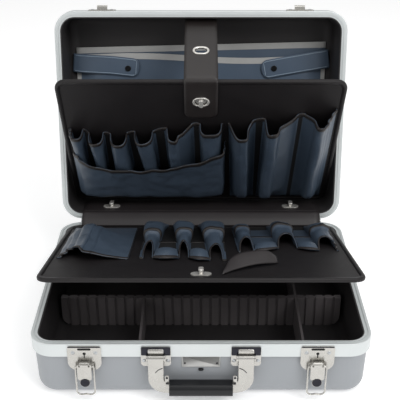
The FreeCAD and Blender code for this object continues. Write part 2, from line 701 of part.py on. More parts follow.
def wire_path(corners):
    # straight runs joined by tangent arcs; each corner is given as x, z and its radius, ends have none
    points = [corner_points(corners, index) for index in range(len(corners))]
    edges = []
    for index, corner in enumerate(points):
        if len(corner) == 3:
            edges.append(Part.Arc(*corner).toShape())
        if index + 1 < len(points):
            edges.append(Part.LineSegment(corner[-1], points[index + 1][0]).toShape())
    return Part.Wire(edges)


def latch_bail(name, x):
    # a bent wire loop; its two ends turn in to the lever's cheeks
    r = size.bail_wire_radius
    leg = size.bail_width / 2 - r
    end = size.lever_width / 2 - size.cheek_thickness - size.bail_end_gap
    low = r - size.bail_length
    side = size.bail_corner_radius
    dent = leg - side
    path = wire_path([
        (end, 0, 0), (leg, 0, size.bail_bend_radius), (leg, low, side), (dent / 2, low, side),
        (0, low + size.bail_dent, side), (-dent / 2, low, side), (-leg, low, side),
        (-leg, 0, size.bail_bend_radius), (-end, 0, 0)])
    start = path.Vertexes[0].Point
    section = Part.Wire(Part.Circle(start, Vector(1, 0, 0), float(r)).toShape())
    wire = path.makePipeShell([section], True, False)
    place = on_front(x).multiply(Placement(at(0, lever_axis_y, -(size.lever_drop + size.bail_drop)),
                                           Rotation(Vector(1, 0, 0), 90)))
    return loose(name, wire, place)


def catch(name, x):
    # the lid's keeper: a plate with a hook whose lip stands up behind the bail
    body = new_body(name)
    face = new_sketch(body, "XZ_Plane", up=size.catch_rise + size.catch_height / 2)
    rounded(face, size.catch_width, size.catch_height, size.catch_radius)
    pad(body, face, size.catch_thickness)
    seat = size.bail_length - size.bail_wire_radius * 2 - size.lever_drop - size.bail_drop
    seat = seat - size.rim_gap - size.hook_play
    root = -(size.catch_thickness / 2)
    tip = -size.hook_reach
    profile = new_sketch(body, "YZ_Plane")
    outline(profile, [
        (root, seat - size.hook_thickness, 0), (tip, seat - size.hook_thickness, size.hook_thickness),
        (tip, seat + size.hook_lip, size.hook_radius / 2),
        (tip + size.hook_thickness, seat + size.hook_lip, size.hook_radius / 2),
        (tip + size.hook_thickness, seat, size.hook_radius), (root, seat, 0)])
    pad(body, profile, size.hook_width, both=True)
    body.Placement = on_lid_front(x)
    return body


def pins(name, xs, axis_y, drop, radius, length):
    # one plain pin through each pair of ears
    shapes = []
    for x in xs:
        start = at(x - length / 2, front_y + axis_y, size.base_height - drop)
        shapes.append(Part.makeCylinder(float(radius), float(length), start, Vector(1, 0, 0)))
    return loose(name, Part.makeCompound(shapes))


latch_x = size.case_width / 2 - size.latch_inset
bracket_x = size.handle_spacing / 2
sides = (("left", -1), ("right", 1))


def latches():
    for side, sign in sides:
        latch_plate(side + "_latch_plate", latch_x * sign)
        latch_lever(side + "_latch_lever", latch_x * sign)
        latch_bail(side + "_latch_bail", latch_x * sign)
        catch(side + "_catch", latch_x * sign)
    width = size.ear_spacing + (size.ear_thickness + size.pin_overhang) * 2
    pins("latch_pins", (-latch_x, latch_x), lever_axis_y, size.lever_drop, size.latch_pin_radius, width)


# Handle: a bracket at each end, an arm on a pin, the grip on a steel core between the arms

handle_axis_y = -(size.bracket_thickness + size.handle_standoff)
bracket_gap = size.arm_width + size.arm_clear * 2
grip_drop = size.arm_drop - size.grip_height / 2


def bracket(name, x):
    body = new_body(name)
    upright_plate(body, size.bracket_width, size.bracket_height, size.bracket_drop, size.bracket_thickness,
                  size.bracket_radius)
    standoff(body, size.bracket_width, size.bracket_drop + size.bracket_height, size.standoff_margin / 2)
    ear_pair(body, bracket_gap, size.bracket_ear_thickness, size.bracket_ear_radius, -size.bracket_thickness,
             handle_axis_y, size.handle_drop, size.handle_pin_radius)
    body.Placement = on_front(x)
    return body


def handle_arm(name, sign):
    # a flat strap that drops from its barrel and turns in to the grip; origin on the handle's pin
    body = new_body(name)
    outer = (bracket_x + size.arm_width / 2) * sign
    inner = (bracket_x - size.arm_width / 2) * sign
    end = size.grip_length / 2 * sign
    bottom = -size.arm_drop
    shoulder = size.grip_height - size.arm_drop
    face = new_sketch(body, "XZ_Plane", out=size.arm_barrel_radius - size.arm_thickness)
    outline(face, [
        (outer, 0, 0), (outer, bottom, size.arm_outer_radius), (end, bottom, 0), (end, shoulder, 0),
        (inner, shoulder, size.arm_inner_radius), (inner, 0, 0)])
    pad(body, face, size.arm_thickness)
    front = -size.arm_barrel_radius
    round_edges(body, lambda edge: flat_at(edge, "y", front) and not flat_at(edge, "x", end)
                and not flat_at(edge, "z", 0), size.arm_edge_round)
    barrel = new_sketch(body, "YZ_Plane", out=bracket_x * sign)
    circle(barrel, size.arm_barrel_radius)
    pad(body, barrel, size.arm_width, both=True)
    bore = new_sketch(body, "YZ_Plane", out=bracket_x * sign)
    circle(bore, size.handle_pin_radius + size.pin_clear)
    pocket(body, bore, size.arm_width + size.overrun, both=True)
    body.Placement = Placement(at(0, front_y + handle_axis_y, size.base_height - size.handle_drop), Rotation())
    return body


def grip():
    body = new_body("handle_grip")
    profile = new_sketch(body, "YZ_Plane")
    rounded(profile, size.grip_depth, size.grip_height, size.grip_radius)
    pad(body, profile, size.grip_length, both=True)
    bore = new_sketch(body, "YZ_Plane")
    circle(bore, size.core_radius + size.core_clear)
    pocket(body, bore, None, both=True)
    centre = at(0, front_y + handle_axis_y - size.grip_forward, size.base_height - size.handle_drop - grip_drop)
    body.Placement = Placement(centre, Rotation())
    core = doc.addObject("Part::Cylinder", "handle_core")
    core.Label = "handle_core"
    bind(core, "Radius", size.core_radius)
    bind(core, "Height", size.grip_length)
    core.Placement = Placement(centre - at(size.grip_length / 2, 0, 0), Rotation(Vector(0, 1, 0), 90))


def handle():
    for side, sign in sides:
        bracket(side + "_handle_bracket", bracket_x * sign)
        handle_arm(side + "_handle_arm", sign)
    grip()
    width = bracket_gap + (size.bracket_ear_thickness + size.pin_overhang) * 2
    pins("handle_pins", (-bracket_x, bracket_x), handle_axis_y, size.handle_drop, size.handle_pin_radius, width)


def rivets(base_axis, lid_axis):
    # the same domed rivet holds the hinge leaves, the latch plates, the catches and the handle brackets
    heads = hinge_rivets(base_axis)
    for _, sign in sides:
        for edge in (-0.5, 0.5):
            point = at(size.latch_rivet_spacing * edge, latch_face, -(size.latch_drop + size.latch_rivet_drop))
            heads.append(rivet(on_front(latch_x * sign), point, Vector(0, -1, 0)))
            point = at(size.bracket_rivet_spacing * edge, -size.bracket_thickness, -size.bracket_rivet_drop)
            heads.append(rivet(on_front(bracket_x * sign), point, Vector(0, -1, 0)))
    loose("base_rivets", Part.makeCompound(heads))
    heads = hinge_rivets(lid_axis)
    for _, sign in sides:
        for edge in (-0.5, 0.5):
            point = at(size.catch_rivet_spacing * edge, -size.catch_thickness,
                       size.catch_rise + size.catch_height / 2)
            heads.append(rivet(on_lid_front(latch_x * sign), point, Vector(0, -1, 0)))
    loose("lid_rivets", Part.makeCompound(heads))


# Tool panels: a board in a bound edge; pockets stand on its front face
# In a panel's own frame Y runs along the panel from its hinge, towards +Y or -Y, and Z is its front

panel_face = size.panel_thickness / 2


def board(name, place, width, length, toward):
    core = new_body(name + "_board")
    lip = size.binding_wall
    plan = new_sketch(core, "XY_Plane", up=length / 2 * toward)
    rounded(plan, width - lip * 2, length - lip * 2, size.panel_radius - lip)
    pad(core, plan, size.panel_thickness, both=True)
    core.Placement = place
    edge = new_body(name + "_binding")
    ring = new_sketch(edge, "XY_Plane", up=length / 2 * toward)
    rounded(ring, width, length, size.panel_radius)
    inside = size.binding_width
    rounded(ring, width - inside * 2, length - inside * 2, size.panel_radius - inside)
    pad(edge, ring, size.panel_thickness + lip * 2, both=True)
    groove = new_sketch(edge, "XY_Plane", up=length / 2 * toward)
    rounded(groove, width - lip * 2, length - lip * 2, size.panel_radius - lip)
    pocket(edge, groove, size.panel_thickness, both=True)
    edge.Placement = place


def even(count):
    number = int(float(count))
    return (1 / number,) * number


def bump_round(first, last):
    # a narrow bulge is rounded by no more than its width leaves room for
    return min(float(size.pocket_round), float(last - first) * bump_round_share)


def pocket_row(name, place, toward, left, right, shares, web, start, end, height, closed):
    # a strip of vinyl sewn down between its bulges; a closed row has sewn, tapering pocket bottoms
    body = new_body(name)
    foot = panel_face
    top = foot + height
    wall = size.vinyl_wall
    bumps = []
    seam = left
    for share in shares:
        following = seam + (right - left) * share
        bumps.append((seam + web / 2, following - web / 2))
        seam = following
    strip = [(left, foot, 0), (left, foot + wall, 0)]
    for first, last in bumps:
        corner = bump_round(first, last)
        strip += [(first, foot + wall, 0), (first, top, corner), (last, top, corner), (last, foot + wall, 0)]
    strip += [(right, foot + wall, 0), (right, foot, 0)]
    backwards = toward > 0
    outer = new_sketch(body, "XZ_Plane", out=start * -toward)
    outline(outer, strip)
    pad(body, outer, end - start, backwards=backwards)
    floor = start - size.overrun
    if closed:
        floor = start + size.pocket_toe_run
        toe = new_sketch(body, "YZ_Plane")
        over = size.overrun
        outline(toe, [
            ((start - over) * toward, foot + size.pocket_toe, 0), (start * toward, foot + size.pocket_toe, 0),
            (floor * toward, top, 0), (floor * toward, top + over, 0), ((start - over) * toward, top + over, 0)])
        pocket(body, toe, None, both=True)
    cavity = new_sketch(body, "XZ_Plane", out=floor * -toward)
    for first, last in bumps:
        corner = bump_round(first, last) - float(wall)
        outline(cavity, [
            (first + wall, foot, 0), (first + wall, top - wall, corner),
            (last - wall, top - wall, corner), (last - wall, foot, 0)])
    pocket(body, cavity, end - floor + size.overrun, backwards=not backwards)
    body.Placement = place
    return body


def lock_plate(name, place, x, y):
    # an oval plate, bored for the button that turns in it
    body = new_body(name)
    face = new_sketch(body, "XY_Plane")
    rounded(face, size.turn_plate_length, size.turn_plate_width, size.turn_plate_width / 2 - size.turn_clear)
    pad(body, face, size.turn_plate_thickness)
    bore = new_sketch(body, "XY_Plane")
    circle(bore, size.turn_post_radius + size.turn_clear)
    pocket(body, bore, None, both=True)
    body.Placement = place.multiply(Placement(at(x, y, 0), Rotation()))
    return body


def turn_button(name, place, x, y):
    body = new_body(name)
    post = new_sketch(body, "XY_Plane")
    circle(post, size.turn_post_radius)
    pad(body, post, size.turn_plate_thickness + size.turn_post_height)
    head = new_sketch(body, "XY_Plane", out=size.turn_plate_thickness + size.turn_post_height)
    rounded(head, size.turn_head_width, size.turn_head_length, size.turn_head_width / 2 - size.turn_clear)
    pad(body, head, size.turn_head_thickness)
    top = size.turn_plate_thickness + size.turn_post_height + size.turn_head_thickness
    round_edges(body, lambda edge: flat_at(edge, "z", top), size.turn_round)
    body.Placement = place.multiply(Placement(at(x, y, 0), Rotation()))
    return body


on_upper_face = on_upper.multiply(Placement(at(0, 0, panel_face), Rotation()))
on_lower_face = on_lower.multiply(Placement(at(0, 0, panel_face), Rotation()))


def upper_panel():
    board("upper", on_upper, upper_width, upper_length, 1)
    edge = upper_width / 2 - size.pocket_margin
    split = size.upper_split
    web = size.web_width
    pocket_row("upper_loops", on_upper, 1, -edge, split, upper_loops_shares, web,
               size.loops_start, size.loops_end, size.loops_height, False)
    pocket_row("upper_wide_pocket", on_upper, 1, -edge, split, even(1), web,
               size.wide_start, size.wide_end, size.wide_height, True)
    pocket_row("upper_tall_pockets", on_upper, 1, split, edge, tall_pockets_shares, web,
               size.wide_start, size.tall_end, size.tall_height, True)
    lock_y = upper_length - size.upper_lock_setback
    lock_plate("upper_lock_plate", on_upper_face, 0, lock_y)
    turn_button("upper_turn_button", on_upper_face, 0, lock_y)


def lower_panel():
    board("lower", on_lower, lower_width, lower_length, -1)
    edge = lower_width / 2 - size.pocket_margin
    middle = size.big_pocket_width - edge
    far = lower_width / 2 - size.side_loops_margin
    rows = (
        ("lower_big_pocket", -edge, middle, even(1), size.web_width),
        ("lower_loops", middle, size.lower_split, even(size.lower_loops_count), size.lower_web_width),
        ("lower_side_loops", size.lower_split, far, even(size.side_loops_count), size.lower_web_width),
    )
    for name, left, right, shares, web in rows:
        pocket_row(name, on_lower, -1, left, right, shares, web, size.lower_start, size.lower_end,
                   size.lower_pocket_height, True)
    lock_y = size.lower_lock_setback - lower_length
    lock_plate("lower_lock_plate", on_lower_face, 0, lock_y)
    turn_button("lower_turn_button", on_lower_face, 0, lock_y)
    pull = new_body("lower_pull")
    half = size.pull_length / 2
    inner = half - size.pull_foot
    rise = size.pull_rise
    thick = size.pull_thickness
    side = new_sketch(pull, "XZ_Plane")
    outline(side, [
        (-half, 0, 0), (-inner, 0, size.pull_round), (-inner / 2, rise - thick, size.pull_round),
        (inner / 2, rise - thick, size.pull_round), (inner, 0, size.pull_round), (half, 0, 0), (half, thick, 0),
        (inner - thick, thick, size.pull_round), (inner / 2 - thick, rise, size.pull_round),
        (thick - inner / 2, rise, size.pull_round), (thick - inner, thick, size.pull_round), (-half, thick, 0)])
    pad(pull, side, size.pull_width, both=True)
    spot = at(size.pull_offset, size.pull_setback - lower_length, 0)
    pull.Placement = on_lower_face.multiply(Placement(spot, Rotation(Vector(0, 0, 1), float(size.pull_turn))))


# Strap from the lid to the upper panel, with its two eyelets

def band(points, thickness):
    # both sides of a thin strip along the points, in order round it
    half = float(thickness) / 2
    ends = []
    for index, point in enumerate(points):
        before = points[max(index - 1, 0)]
        after = points[min(index + 1, len(points) - 1)]
        runs = [(b - a).normalize() for a, b in ((before, point), (point, after)) if a.distanceToPoint(b) > 0]
        normal = sum((Vector(-run.y, run.x) for run in runs), Vector()).normalize()
        stretch = half / normal.dot(Vector(-runs[0].y, runs[0].x))
        ends.append((point + normal * stretch, point - normal * stretch))
    way_round = [a for a, _ in ends] + [b for _, b in reversed(ends)]
    return [(point.x, point.y, 0) for point in way_round]


def panel_strap():
    # drawn in the upper panel's frame: from the lid's end wall over the panel's top edge and down its front
    body = new_body("panel_strap")
    half = size.strap_thickness / 2
    root = at(0, size.strap_gap + half - inner_wall(size.strap_root), lid_rim + size.strap_root)
    local = on_upper.inverse().multVec(opening.multVec(root))
    lift = panel_face + size.turn_plate_thickness + size.strap_gap + half
    top = Vector(float(upper_length + size.strap_rise), float(lift))
    tail = Vector(float(upper_length - size.strap_tail), float(lift))
    side = new_sketch(body, "YZ_Plane")
    outline(side, band([Vector(local.y, local.z), top, tail], size.strap_thickness))
    pad(body, side, size.strap_width, both=True)
    low_end = float(upper_length - size.strap_tail)
    round_edges(body, lambda edge: flat_at(edge, "y", low_end) and abs(edge.CenterOfMass.x) > same_place
                and edge.Length < float(size.strap_end_radius), size.strap_end_radius)
    upper_end = Vector(0, local.y, local.z)
    over_edge = Vector(0, top.x, top.y)
    spot = over_edge + (upper_end - over_edge) * float(size.upper_eyelet_share)
    run = upper_end - over_edge
    slope = math.degrees(math.atan2(-run.z, -run.y))
    lock_y = upper_length - size.upper_lock_setback
    for hole in (new_sketch(body, "XY_Plane", up=lock_y, out=lift),
                 new_sketch(body, "XZ_Plane", up=spot.z, out=-spot.y)):
        eyelet_hole(hole)
        pocket(body, hole, size.eyelet_hole_width, both=True)
    body.Placement = on_upper
    eyelets = []
    for centre, angle in ((Vector(0, float(lock_y), float(lift)), 0), (spot, slope)):
        turn = Placement(centre, Rotation(Vector(1, 0, 0), angle))
        eyelets.append(eyelet(on_upper.multiply(turn).multiply(Placement(at(0, 0, half), Rotation()))))
    group("strap_eyelets", eyelets)


def eyelet(place):
    body = new_body("eyelet")
    ring = new_sketch(body, "XY_Plane")
    rounded(ring, size.eyelet_length, size.eyelet_width, size.eyelet_width / 2 - size.turn_clear)
    eyelet_hole(ring)
    pad(body, ring, size.eyelet_thickness)
    body.Placement = place
    return body


def eyelet_hole(sketch):
    # long across the strap, so that a button turned along the strap holds it
    rounded(sketch, size.eyelet_hole_length, size.eyelet_hole_width, size.eyelet_hole_width / 2 - size.turn_clear)


# Inside the lid: the document pocket with its straps, and the flap that covers the hinge

lid_floor = size.lid_height - size.shell_wall - size.liner_gap - size.liner_wall
flap_width = size.case_width - size.flap_inset * 2


def round_run(rise):
    # how far the lining's round edge stands in from its wall, this far above the floor
    radius = size.liner_edge_radius - size.liner_wall
    reach = radius - rise
    run = math.sqrt(float(radius) ** 2 - float(reach) ** 2)
    return radius - Size(run, "sqrt(%s ^ 2 - %s ^ 2)" % (text(radius), text(reach)))


edge_run = round_run(size.document_lift)
document_back = lid_floor - size.document_lift
document_top = size.document_setback - inner_wall(lid_floor)
document_width = (side_wall(lid_floor) - edge_run - size.document_clear) * 2
document_height = inner_wall(lid_floor) * 2 - size.document_setback - edge_run - size.document_foot


def document_pocket():
    # a flat pouch on the lid's back, open towards the lid's free edge
    body = new_body("document_pocket")
    middle = document_top + document_height / 2
    plan = new_sketch(body, "XY_Plane", up=middle, out=document_back - size.document_depth)
    rounded(plan, document_width, document_height, size.document_radius)
    pad(body, plan, size.document_depth)
    wall = size.document_wall
    mouth = new_sketch(body, "XZ_Plane", up=document_back - size.document_depth / 2, out=-document_top + size.overrun)
    rectangle(mouth, document_width - wall * 2, size.document_depth - wall * 2)
    pocket(body, mouth, document_height - wall + size.overrun)
    body.Placement = into_lid
    face = document_back - size.document_depth
    snaps = []
    for side, sign in sides:
        strap = new_body(side + "_document_strap")
        centre = (document_width - size.document_strap_length) / 2 * sign
        y = document_top + size.document_strap_setback
        flat = new_sketch(strap, "XY_Plane", across=centre, up=y, out=face - size.document_strap_thickness)
        rounded(flat, size.document_strap_length, size.document_strap_width, size.strap_end_radius)
        pad(strap, flat, size.document_strap_thickness)
        strap.Placement = into_lid
        inner = (document_width / 2 - size.document_strap_length + size.snap_inset) * sign
        top = at(inner, y, face - size.document_strap_thickness - size.snap_rise)
        snap = Part.makeCylinder(float(size.snap_radius), float(size.snap_rise), top, Vector(0, 0, 1))
        rim = [edge for edge in snap.Edges if flat_at(edge, "z", top.z)]
        snaps.append(snap.makeFillet(float(size.snap_rise / 2), rim))
    loose("document_snaps", Part.makeCompound(snaps), into_lid)


def hinge_flap():
    # the flap lies on the lid's hinge wall, held by two turn locks, and bridges to the lower panel's edge
    lean = Rotation(Vector(1, 0, 0), 90 + float(size.shell_draft))
    wall_y = inner_wall(size.flap_start) - size.flap_gap
    wall_place = into_lid.multiply(Placement(at(0, wall_y, size.flap_start), lean))
    body = new_body("hinge_flap")
    plan = new_sketch(body, "XY_Plane", up=size.flap_depth / 2)
    rounded(plan, flap_width, size.flap_depth, size.flap_radius)
    pad(body, plan, size.flap_thickness)
    body.Placement = wall_place
    on_flap = wall_place.multiply(Placement(at(0, 0, size.flap_thickness), Rotation()))
    spot = size.flap_lock_depth - size.flap_start
    plates = []
    for side, sign in sides:
        x = (flap_width / 2 - size.flap_lock_inset) * sign
        plates.append(lock_plate("flap_lock_plate", on_flap, x, spot))
        turn_button(side + "_flap_button", on_flap, x, spot)
    group("flap_lock_plates", plates)
    half = size.flap_thickness / 2
    start = wall_place.multVec(at(0, -size.flap_gap, half))
    bend = wall_place.multVec(at(0, -(size.flap_start + size.flap_over), half))
    end = lower_pivot + at(0, 0, panel_face + size.binding_wall + size.flap_gap + half)
    bridge = new_body("flap_bridge")
    side = new_sketch(bridge, "YZ_Plane")
    outline(side, band([Vector(point.y, point.z) for point in (start, bend, end)], size.flap_thickness))
    pad(bridge, side, flap_width, both=True)


def check_and_write():
    doc.recompute()
    for thing in doc.Objects:
        if "Invalid" in thing.State or "Error" in thing.State:
            raise RuntimeError("failed: %s %s" % (thing.Name, thing.State))
    groups = [thing for thing in doc.Objects if thing.TypeId == "Part::Compound"]
    members = [member for thing in groups for member in thing.Links]
    kinds = ("PartDesign::Body", "Part::Feature", "Part::Cylinder", "Part::Compound")
    nodes = [thing for thing in doc.Objects if thing.TypeId in kinds and thing not in members]
    for thing in nodes:
        if thing.Shape.isNull() or not thing.Shape.isValid():
            raise RuntimeError("bad shape: " + thing.Label)
    for thing in nodes:
        thing.Shape.exportStep("parts/%s.step" % thing.Label)
    print(len(nodes), "pieces written")


shells()
dividers()
base_axis, lid_axis = hinge()
latches()
handle()
rivets(base_axis, lid_axis)
upper_panel()
lower_panel()
panel_strap()
document_pocket()
hinge_flap()
check_and_write()
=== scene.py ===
import json
import math

import bpy
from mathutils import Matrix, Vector, noise


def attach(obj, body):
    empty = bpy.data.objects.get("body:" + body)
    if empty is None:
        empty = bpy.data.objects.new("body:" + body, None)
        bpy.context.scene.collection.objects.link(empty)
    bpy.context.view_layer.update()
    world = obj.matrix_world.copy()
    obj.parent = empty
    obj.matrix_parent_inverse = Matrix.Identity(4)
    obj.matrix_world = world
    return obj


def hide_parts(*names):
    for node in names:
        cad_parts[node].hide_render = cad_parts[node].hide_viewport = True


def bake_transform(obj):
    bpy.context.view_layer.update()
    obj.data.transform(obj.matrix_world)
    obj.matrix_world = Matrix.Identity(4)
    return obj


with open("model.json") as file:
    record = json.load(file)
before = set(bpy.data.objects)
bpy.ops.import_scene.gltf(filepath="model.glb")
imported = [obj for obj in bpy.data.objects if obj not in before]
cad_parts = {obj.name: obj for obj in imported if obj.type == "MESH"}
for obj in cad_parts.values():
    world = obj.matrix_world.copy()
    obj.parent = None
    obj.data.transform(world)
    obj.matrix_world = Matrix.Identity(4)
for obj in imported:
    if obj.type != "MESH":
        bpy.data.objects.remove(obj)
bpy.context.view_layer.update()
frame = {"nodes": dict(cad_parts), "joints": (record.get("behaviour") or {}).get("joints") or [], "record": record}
nodes = frame["nodes"]
joints = {joint["name"]: joint for joint in frame["joints"]}
mm = 0.001
print("frame loaded:", len(nodes), "nodes")


# Materials

def linear(hexColour):
    # sRGB hex to the linear colour that the shader wants
    parts = [int(hexColour[i:i + 2], 16) / 255 for i in (1, 3, 5)]
    return [c / 12.92 if c <= 0.04045 else ((c + 0.055) / 1.055) ** 2.4 for c in parts] + [1.0]


def addNode(material, kind, settings=None, links=None):
    # settings go to a socket of that name, or else to the node itself
    node = material.node_tree.nodes.new(kind)
    for key, value in (settings or {}).items():
        if key in node.inputs:
            node.inputs[key].default_value = value
        else:
            setattr(node, key, value)
    for key, source in (links or {}).items():
        material.node_tree.links.new(source, node.inputs[key])
    return node


def startMaterial(name, settings):
    material = bpy.data.materials.new(name)
    material.use_nodes = True
    shader = material.node_tree.nodes["Principled BSDF"]
    for key, value in settings.items():
        shader.inputs[key].default_value = value
    coords = addNode(material, "ShaderNodeTexCoord").outputs["Object"]
    return material, shader, coords


def pebble(size, strength):
    # leather stipple in cells of a size in millimetres
    return {"kind": "pebble", "size": size, "strength": strength}


def streak(size, strength, stretch=(1, 1, 1)):
    # fine noise of a size in millimetres: stretch under 1 draws it out along an axis, over 1 squeezes it
    return {"kind": "streak", "size": size, "strength": strength, "stretch": stretch}


def surface(name, light, dark, patch, rough, grain, bump, settings):
    # two close colours in soft patches, roughness that varies with them, and a fine grain in relief
    # patch, grain and bump are real sizes in millimetres; rough is the range of roughness
    material, shader, coords = startMaterial(name, settings)
    link = material.node_tree.links.new
    cloud = addNode(material, "ShaderNodeTexNoise", {"Scale": 1 / (patch * mm), "Detail": 3.0},
                    {"Vector": coords})
    tint = addNode(material, "ShaderNodeMix", {"data_type": "RGBA"}, {"Factor": cloud.outputs["Fac"]})
    tint.inputs[6].default_value = linear(dark)  # sockets 6 and 7 are the two colours, output 2 their mix
    tint.inputs[7].default_value = linear(light)
    link(tint.outputs[2], shader.inputs["Base Color"])
    gloss = addNode(material, "ShaderNodeMapRange", {"To Min": rough[0], "To Max": rough[1]},
                    {"Value": cloud.outputs["Fac"]})
    link(gloss.outputs["Result"], shader.inputs["Roughness"])
    grainScale = 1 / (grain["size"] * mm)
    if grain["kind"] == "pebble":
        relief = addNode(material, "ShaderNodeTexVoronoi", {"Scale": grainScale}, {"Vector": coords})
        height = relief.outputs["Distance"]
    else:
        stretch = addNode(material, "ShaderNodeMapping", {"Scale": grain["stretch"]}, {"Vector": coords})
        relief = addNode(material, "ShaderNodeTexNoise", {"Scale": grainScale, "Detail": 4.0},
                         {"Vector": stretch.outputs["Vector"]})
        height = relief.outputs["Fac"]
    lift = addNode(material, "ShaderNodeBump", {"Strength": grain["strength"], "Distance": bump * mm},
                   {"Height": height})
    link(lift.outputs["Normal"], shader.inputs["Normal"])
    return material


# vacuum formed ABS: a pale grey skin with a fine leather stipple, drawn coarse enough to show
mouldedAbs = surface("moulded_abs", "#9a9da1", "#909498", 60, (0.40, 0.48),
                     pebble(1.6, 0.25), 0.25, {"IOR": 1.52})
# anodised aluminium extrusion: pale and satin, with draw lines along its length
anodisedAluminium = surface("anodised_aluminium", "#d3d7d7", "#cacfcf", 40, (0.34, 0.42),
                            streak(2.0, 0.12, (0.05, 0.05, 2)), 0.1, {"Metallic": 0.4})
# embossed lining sheet: nearly black, soft and matt
linedPlastic = surface("embossed_lining", "#312e2f", "#272526", 30, (0.55, 0.68),
                       pebble(1.4, 0.3), 0.2, {"IOR": 1.5})
# moulded polypropylene dividers: dark grey, a slight waxy sheen
mouldedDivider = surface("moulded_polypropylene", "#625d5e", "#545051", 25, (0.42, 0.52),
                         streak(0.9, 0.15), 0.1, {"IOR": 1.49})
# leatherette: black vinyl on cloth with a fine leather grain
blackLeatherette = surface("embossed_leatherette", "#1c191a", "#151314", 35, (0.46, 0.60),
                           pebble(1.3, 0.4), 0.25, {"IOR": 1.5, "Specular IOR Level": 0.22})
# vinyl tape folded over an edge: a smoother black than the panel
bindingTape = surface("folded_vinyl_tape", "#1f1c1d", "#161415", 12, (0.45, 0.58),
                      streak(0.8, 0.3), 0.15, {"IOR": 1.5, "Specular IOR Level": 0.3})
# calendered vinyl of the pockets: steel blue with a soft gloss
pocketVinyl = surface("calendered_vinyl", "#414e5d", "#36414e", 22, (0.36, 0.50),
                      streak(0.9, 0.3), 0.15, {"IOR": 1.52})
# smoother vinyl of the document pocket, a lighter blue
documentVinyl = surface("document_vinyl", "#5c6b7d", "#4f5e70", 40, (0.34, 0.46),
                        streak(1.2, 0.2), 0.12, {"IOR": 1.52})
# grey tape along the document pocket's mouth, matt
greyTape = surface("grey_edge_tape", "#c2c2c0", "#b5b5b3", 15, (0.5, 0.6),
                   streak(0.7, 0.25), 0.12, {"IOR": 1.5})
# satin nickel on pressed steel: warm, softly reflecting
satinNickel = surface("satin_nickel", "#c3c1bc", "#b6b4af", 14, (0.22, 0.32),
                      streak(1.2, 0.03, (1, 1, 6)), 0.03, {"Metallic": 0.9})
# bright nickel on the locks and eyelets: nearly white, with soft edges to its reflections
brightNickel = surface("bright_nickel", "#e2dfda", "#d6d3cd", 8, (0.22, 0.3),
                       streak(0.5, 0.05), 0.04, {"Metallic": 0.6})
# zinc plated steel of the hinge: cool and slightly dull
zincSteel = surface("zinc_plated_steel", "#c3c5c6", "#b4b7b9", 10, (0.32, 0.42),
                    streak(0.8, 0.1), 0.05, {"Metallic": 1.0})
# moulded grip: black with a smooth, slightly worn gloss
mouldedGrip = surface("moulded_grip", "#17181b", "#111214", 16, (0.26, 0.38),
                      streak(0.8, 0.12), 0.1, {"IOR": 1.5, "Specular IOR Level": 0.35})
# tape bound over a pocket's mouth: brown black, a little lighter than the web
mouthTape = surface("mouth_tape", "#221d1c", "#1a1615", 9, (0.48, 0.6),
                    streak(0.8, 0.3), 0.12, {"IOR": 1.5})
# near-black on the webs and hems between the bulges: painted shade for the deep slots between the pockets
webShade = surface("web_painted_shade", "#100f10", "#0a090a", 10, (0.75, 0.85),
                   streak(0.7, 0.3), 0.12, {"IOR": 1.45})
# the strap's leatherette: a little browner and glossier than the panel's
strapLeather = surface("strap_leatherette", "#282322", "#1e1a19", 30, (0.40, 0.52),
                       pebble(1.3, 0.35), 0.2, {"IOR": 1.5})
# the flap's thin leatherette, dusty brown grey in the light
flapLeather = surface("flap_leatherette", "#2d292a", "#242021", 40, (0.46, 0.58),
                      pebble(1.3, 0.35), 0.2, {"IOR": 1.5})
# welded edge of the document straps: pale where the vinyl is pressed
weldEdge = surface("welded_vinyl_edge", "#9fb0c0", "#8a9cae", 6, (0.3, 0.4),
                   streak(0.8, 0.2), 0.1, {"IOR": 1.52})
# nickel painted dark: a painted reflection of the dark side of the room, also laid as painted shade on the
# latches' top lines, the levers' dishes and the arms' creases
darkNickel = surface("nickel_painted_dark_reflection", "#3a3a40", "#2b2b30", 7, (0.18, 0.28),
                     streak(0.5, 0.06), 0.04, {"Metallic": 1.0})
# phosphated steel of screw heads: dark grey, softly shining; the same dark grey is painted shade inside the
# latches' holes
darkSteel = surface("phosphated_steel_and_hole_shade", "#4a4a4c", "#3b3b3d", 4, (0.3, 0.42),
                    streak(0.5, 0.06), 0.04, {"Metallic": 1.0})
# brushed plate, bare: pale, with fine lines across
plateAluminium = surface("brushed_plate", "#c4c4c2", "#b8b8b6", 12, (0.42, 0.5),
                         streak(0.5, 0.15, (0.1, 1, 6)), 0.05, {"Metallic": 1.0})

finishes = {
    "shell_abs": mouldedAbs, "frame_aluminium": anodisedAluminium, "lining_plastic": linedPlastic,
    "divider_plastic": mouldedDivider, "hinge_steel": zincSteel, "latch_nickel": satinNickel,
    "grip_plastic": mouldedGrip, "panel_leatherette": blackLeatherette, "binding_vinyl": bindingTape,
    "pocket_vinyl": pocketVinyl, "document_vinyl": documentVinyl, "lock_nickel": brightNickel,
}
for entry in frame["record"]["subparts"]:
    node = nodes[entry["node"]]
    node.data.materials.clear()
    node.data.materials.append(finishes[entry["material_slot"]])
nodes["document_snaps"].data.materials[0] = mouldedGrip  # the snaps are black
print("materials set:", len(finishes))


# Camera, light and floor

shot = {"lens": 78.15, "place": (0, -1.1045, 0.7807), "pitch": 27.02, "shift": -0.0025}


def makeCamera():
    camera = bpy.data.objects.new("camera", bpy.data.cameras.new("camera"))
    camera.data.lens = shot["lens"]
    camera.data.shift_x = shot["shift"]
    camera.location = shot["place"]
    camera.rotation_euler = (math.radians(90 - shot["pitch"]), 0, 0)
    bpy.context.scene.collection.objects.link(camera)
    bpy.context.scene.camera = camera


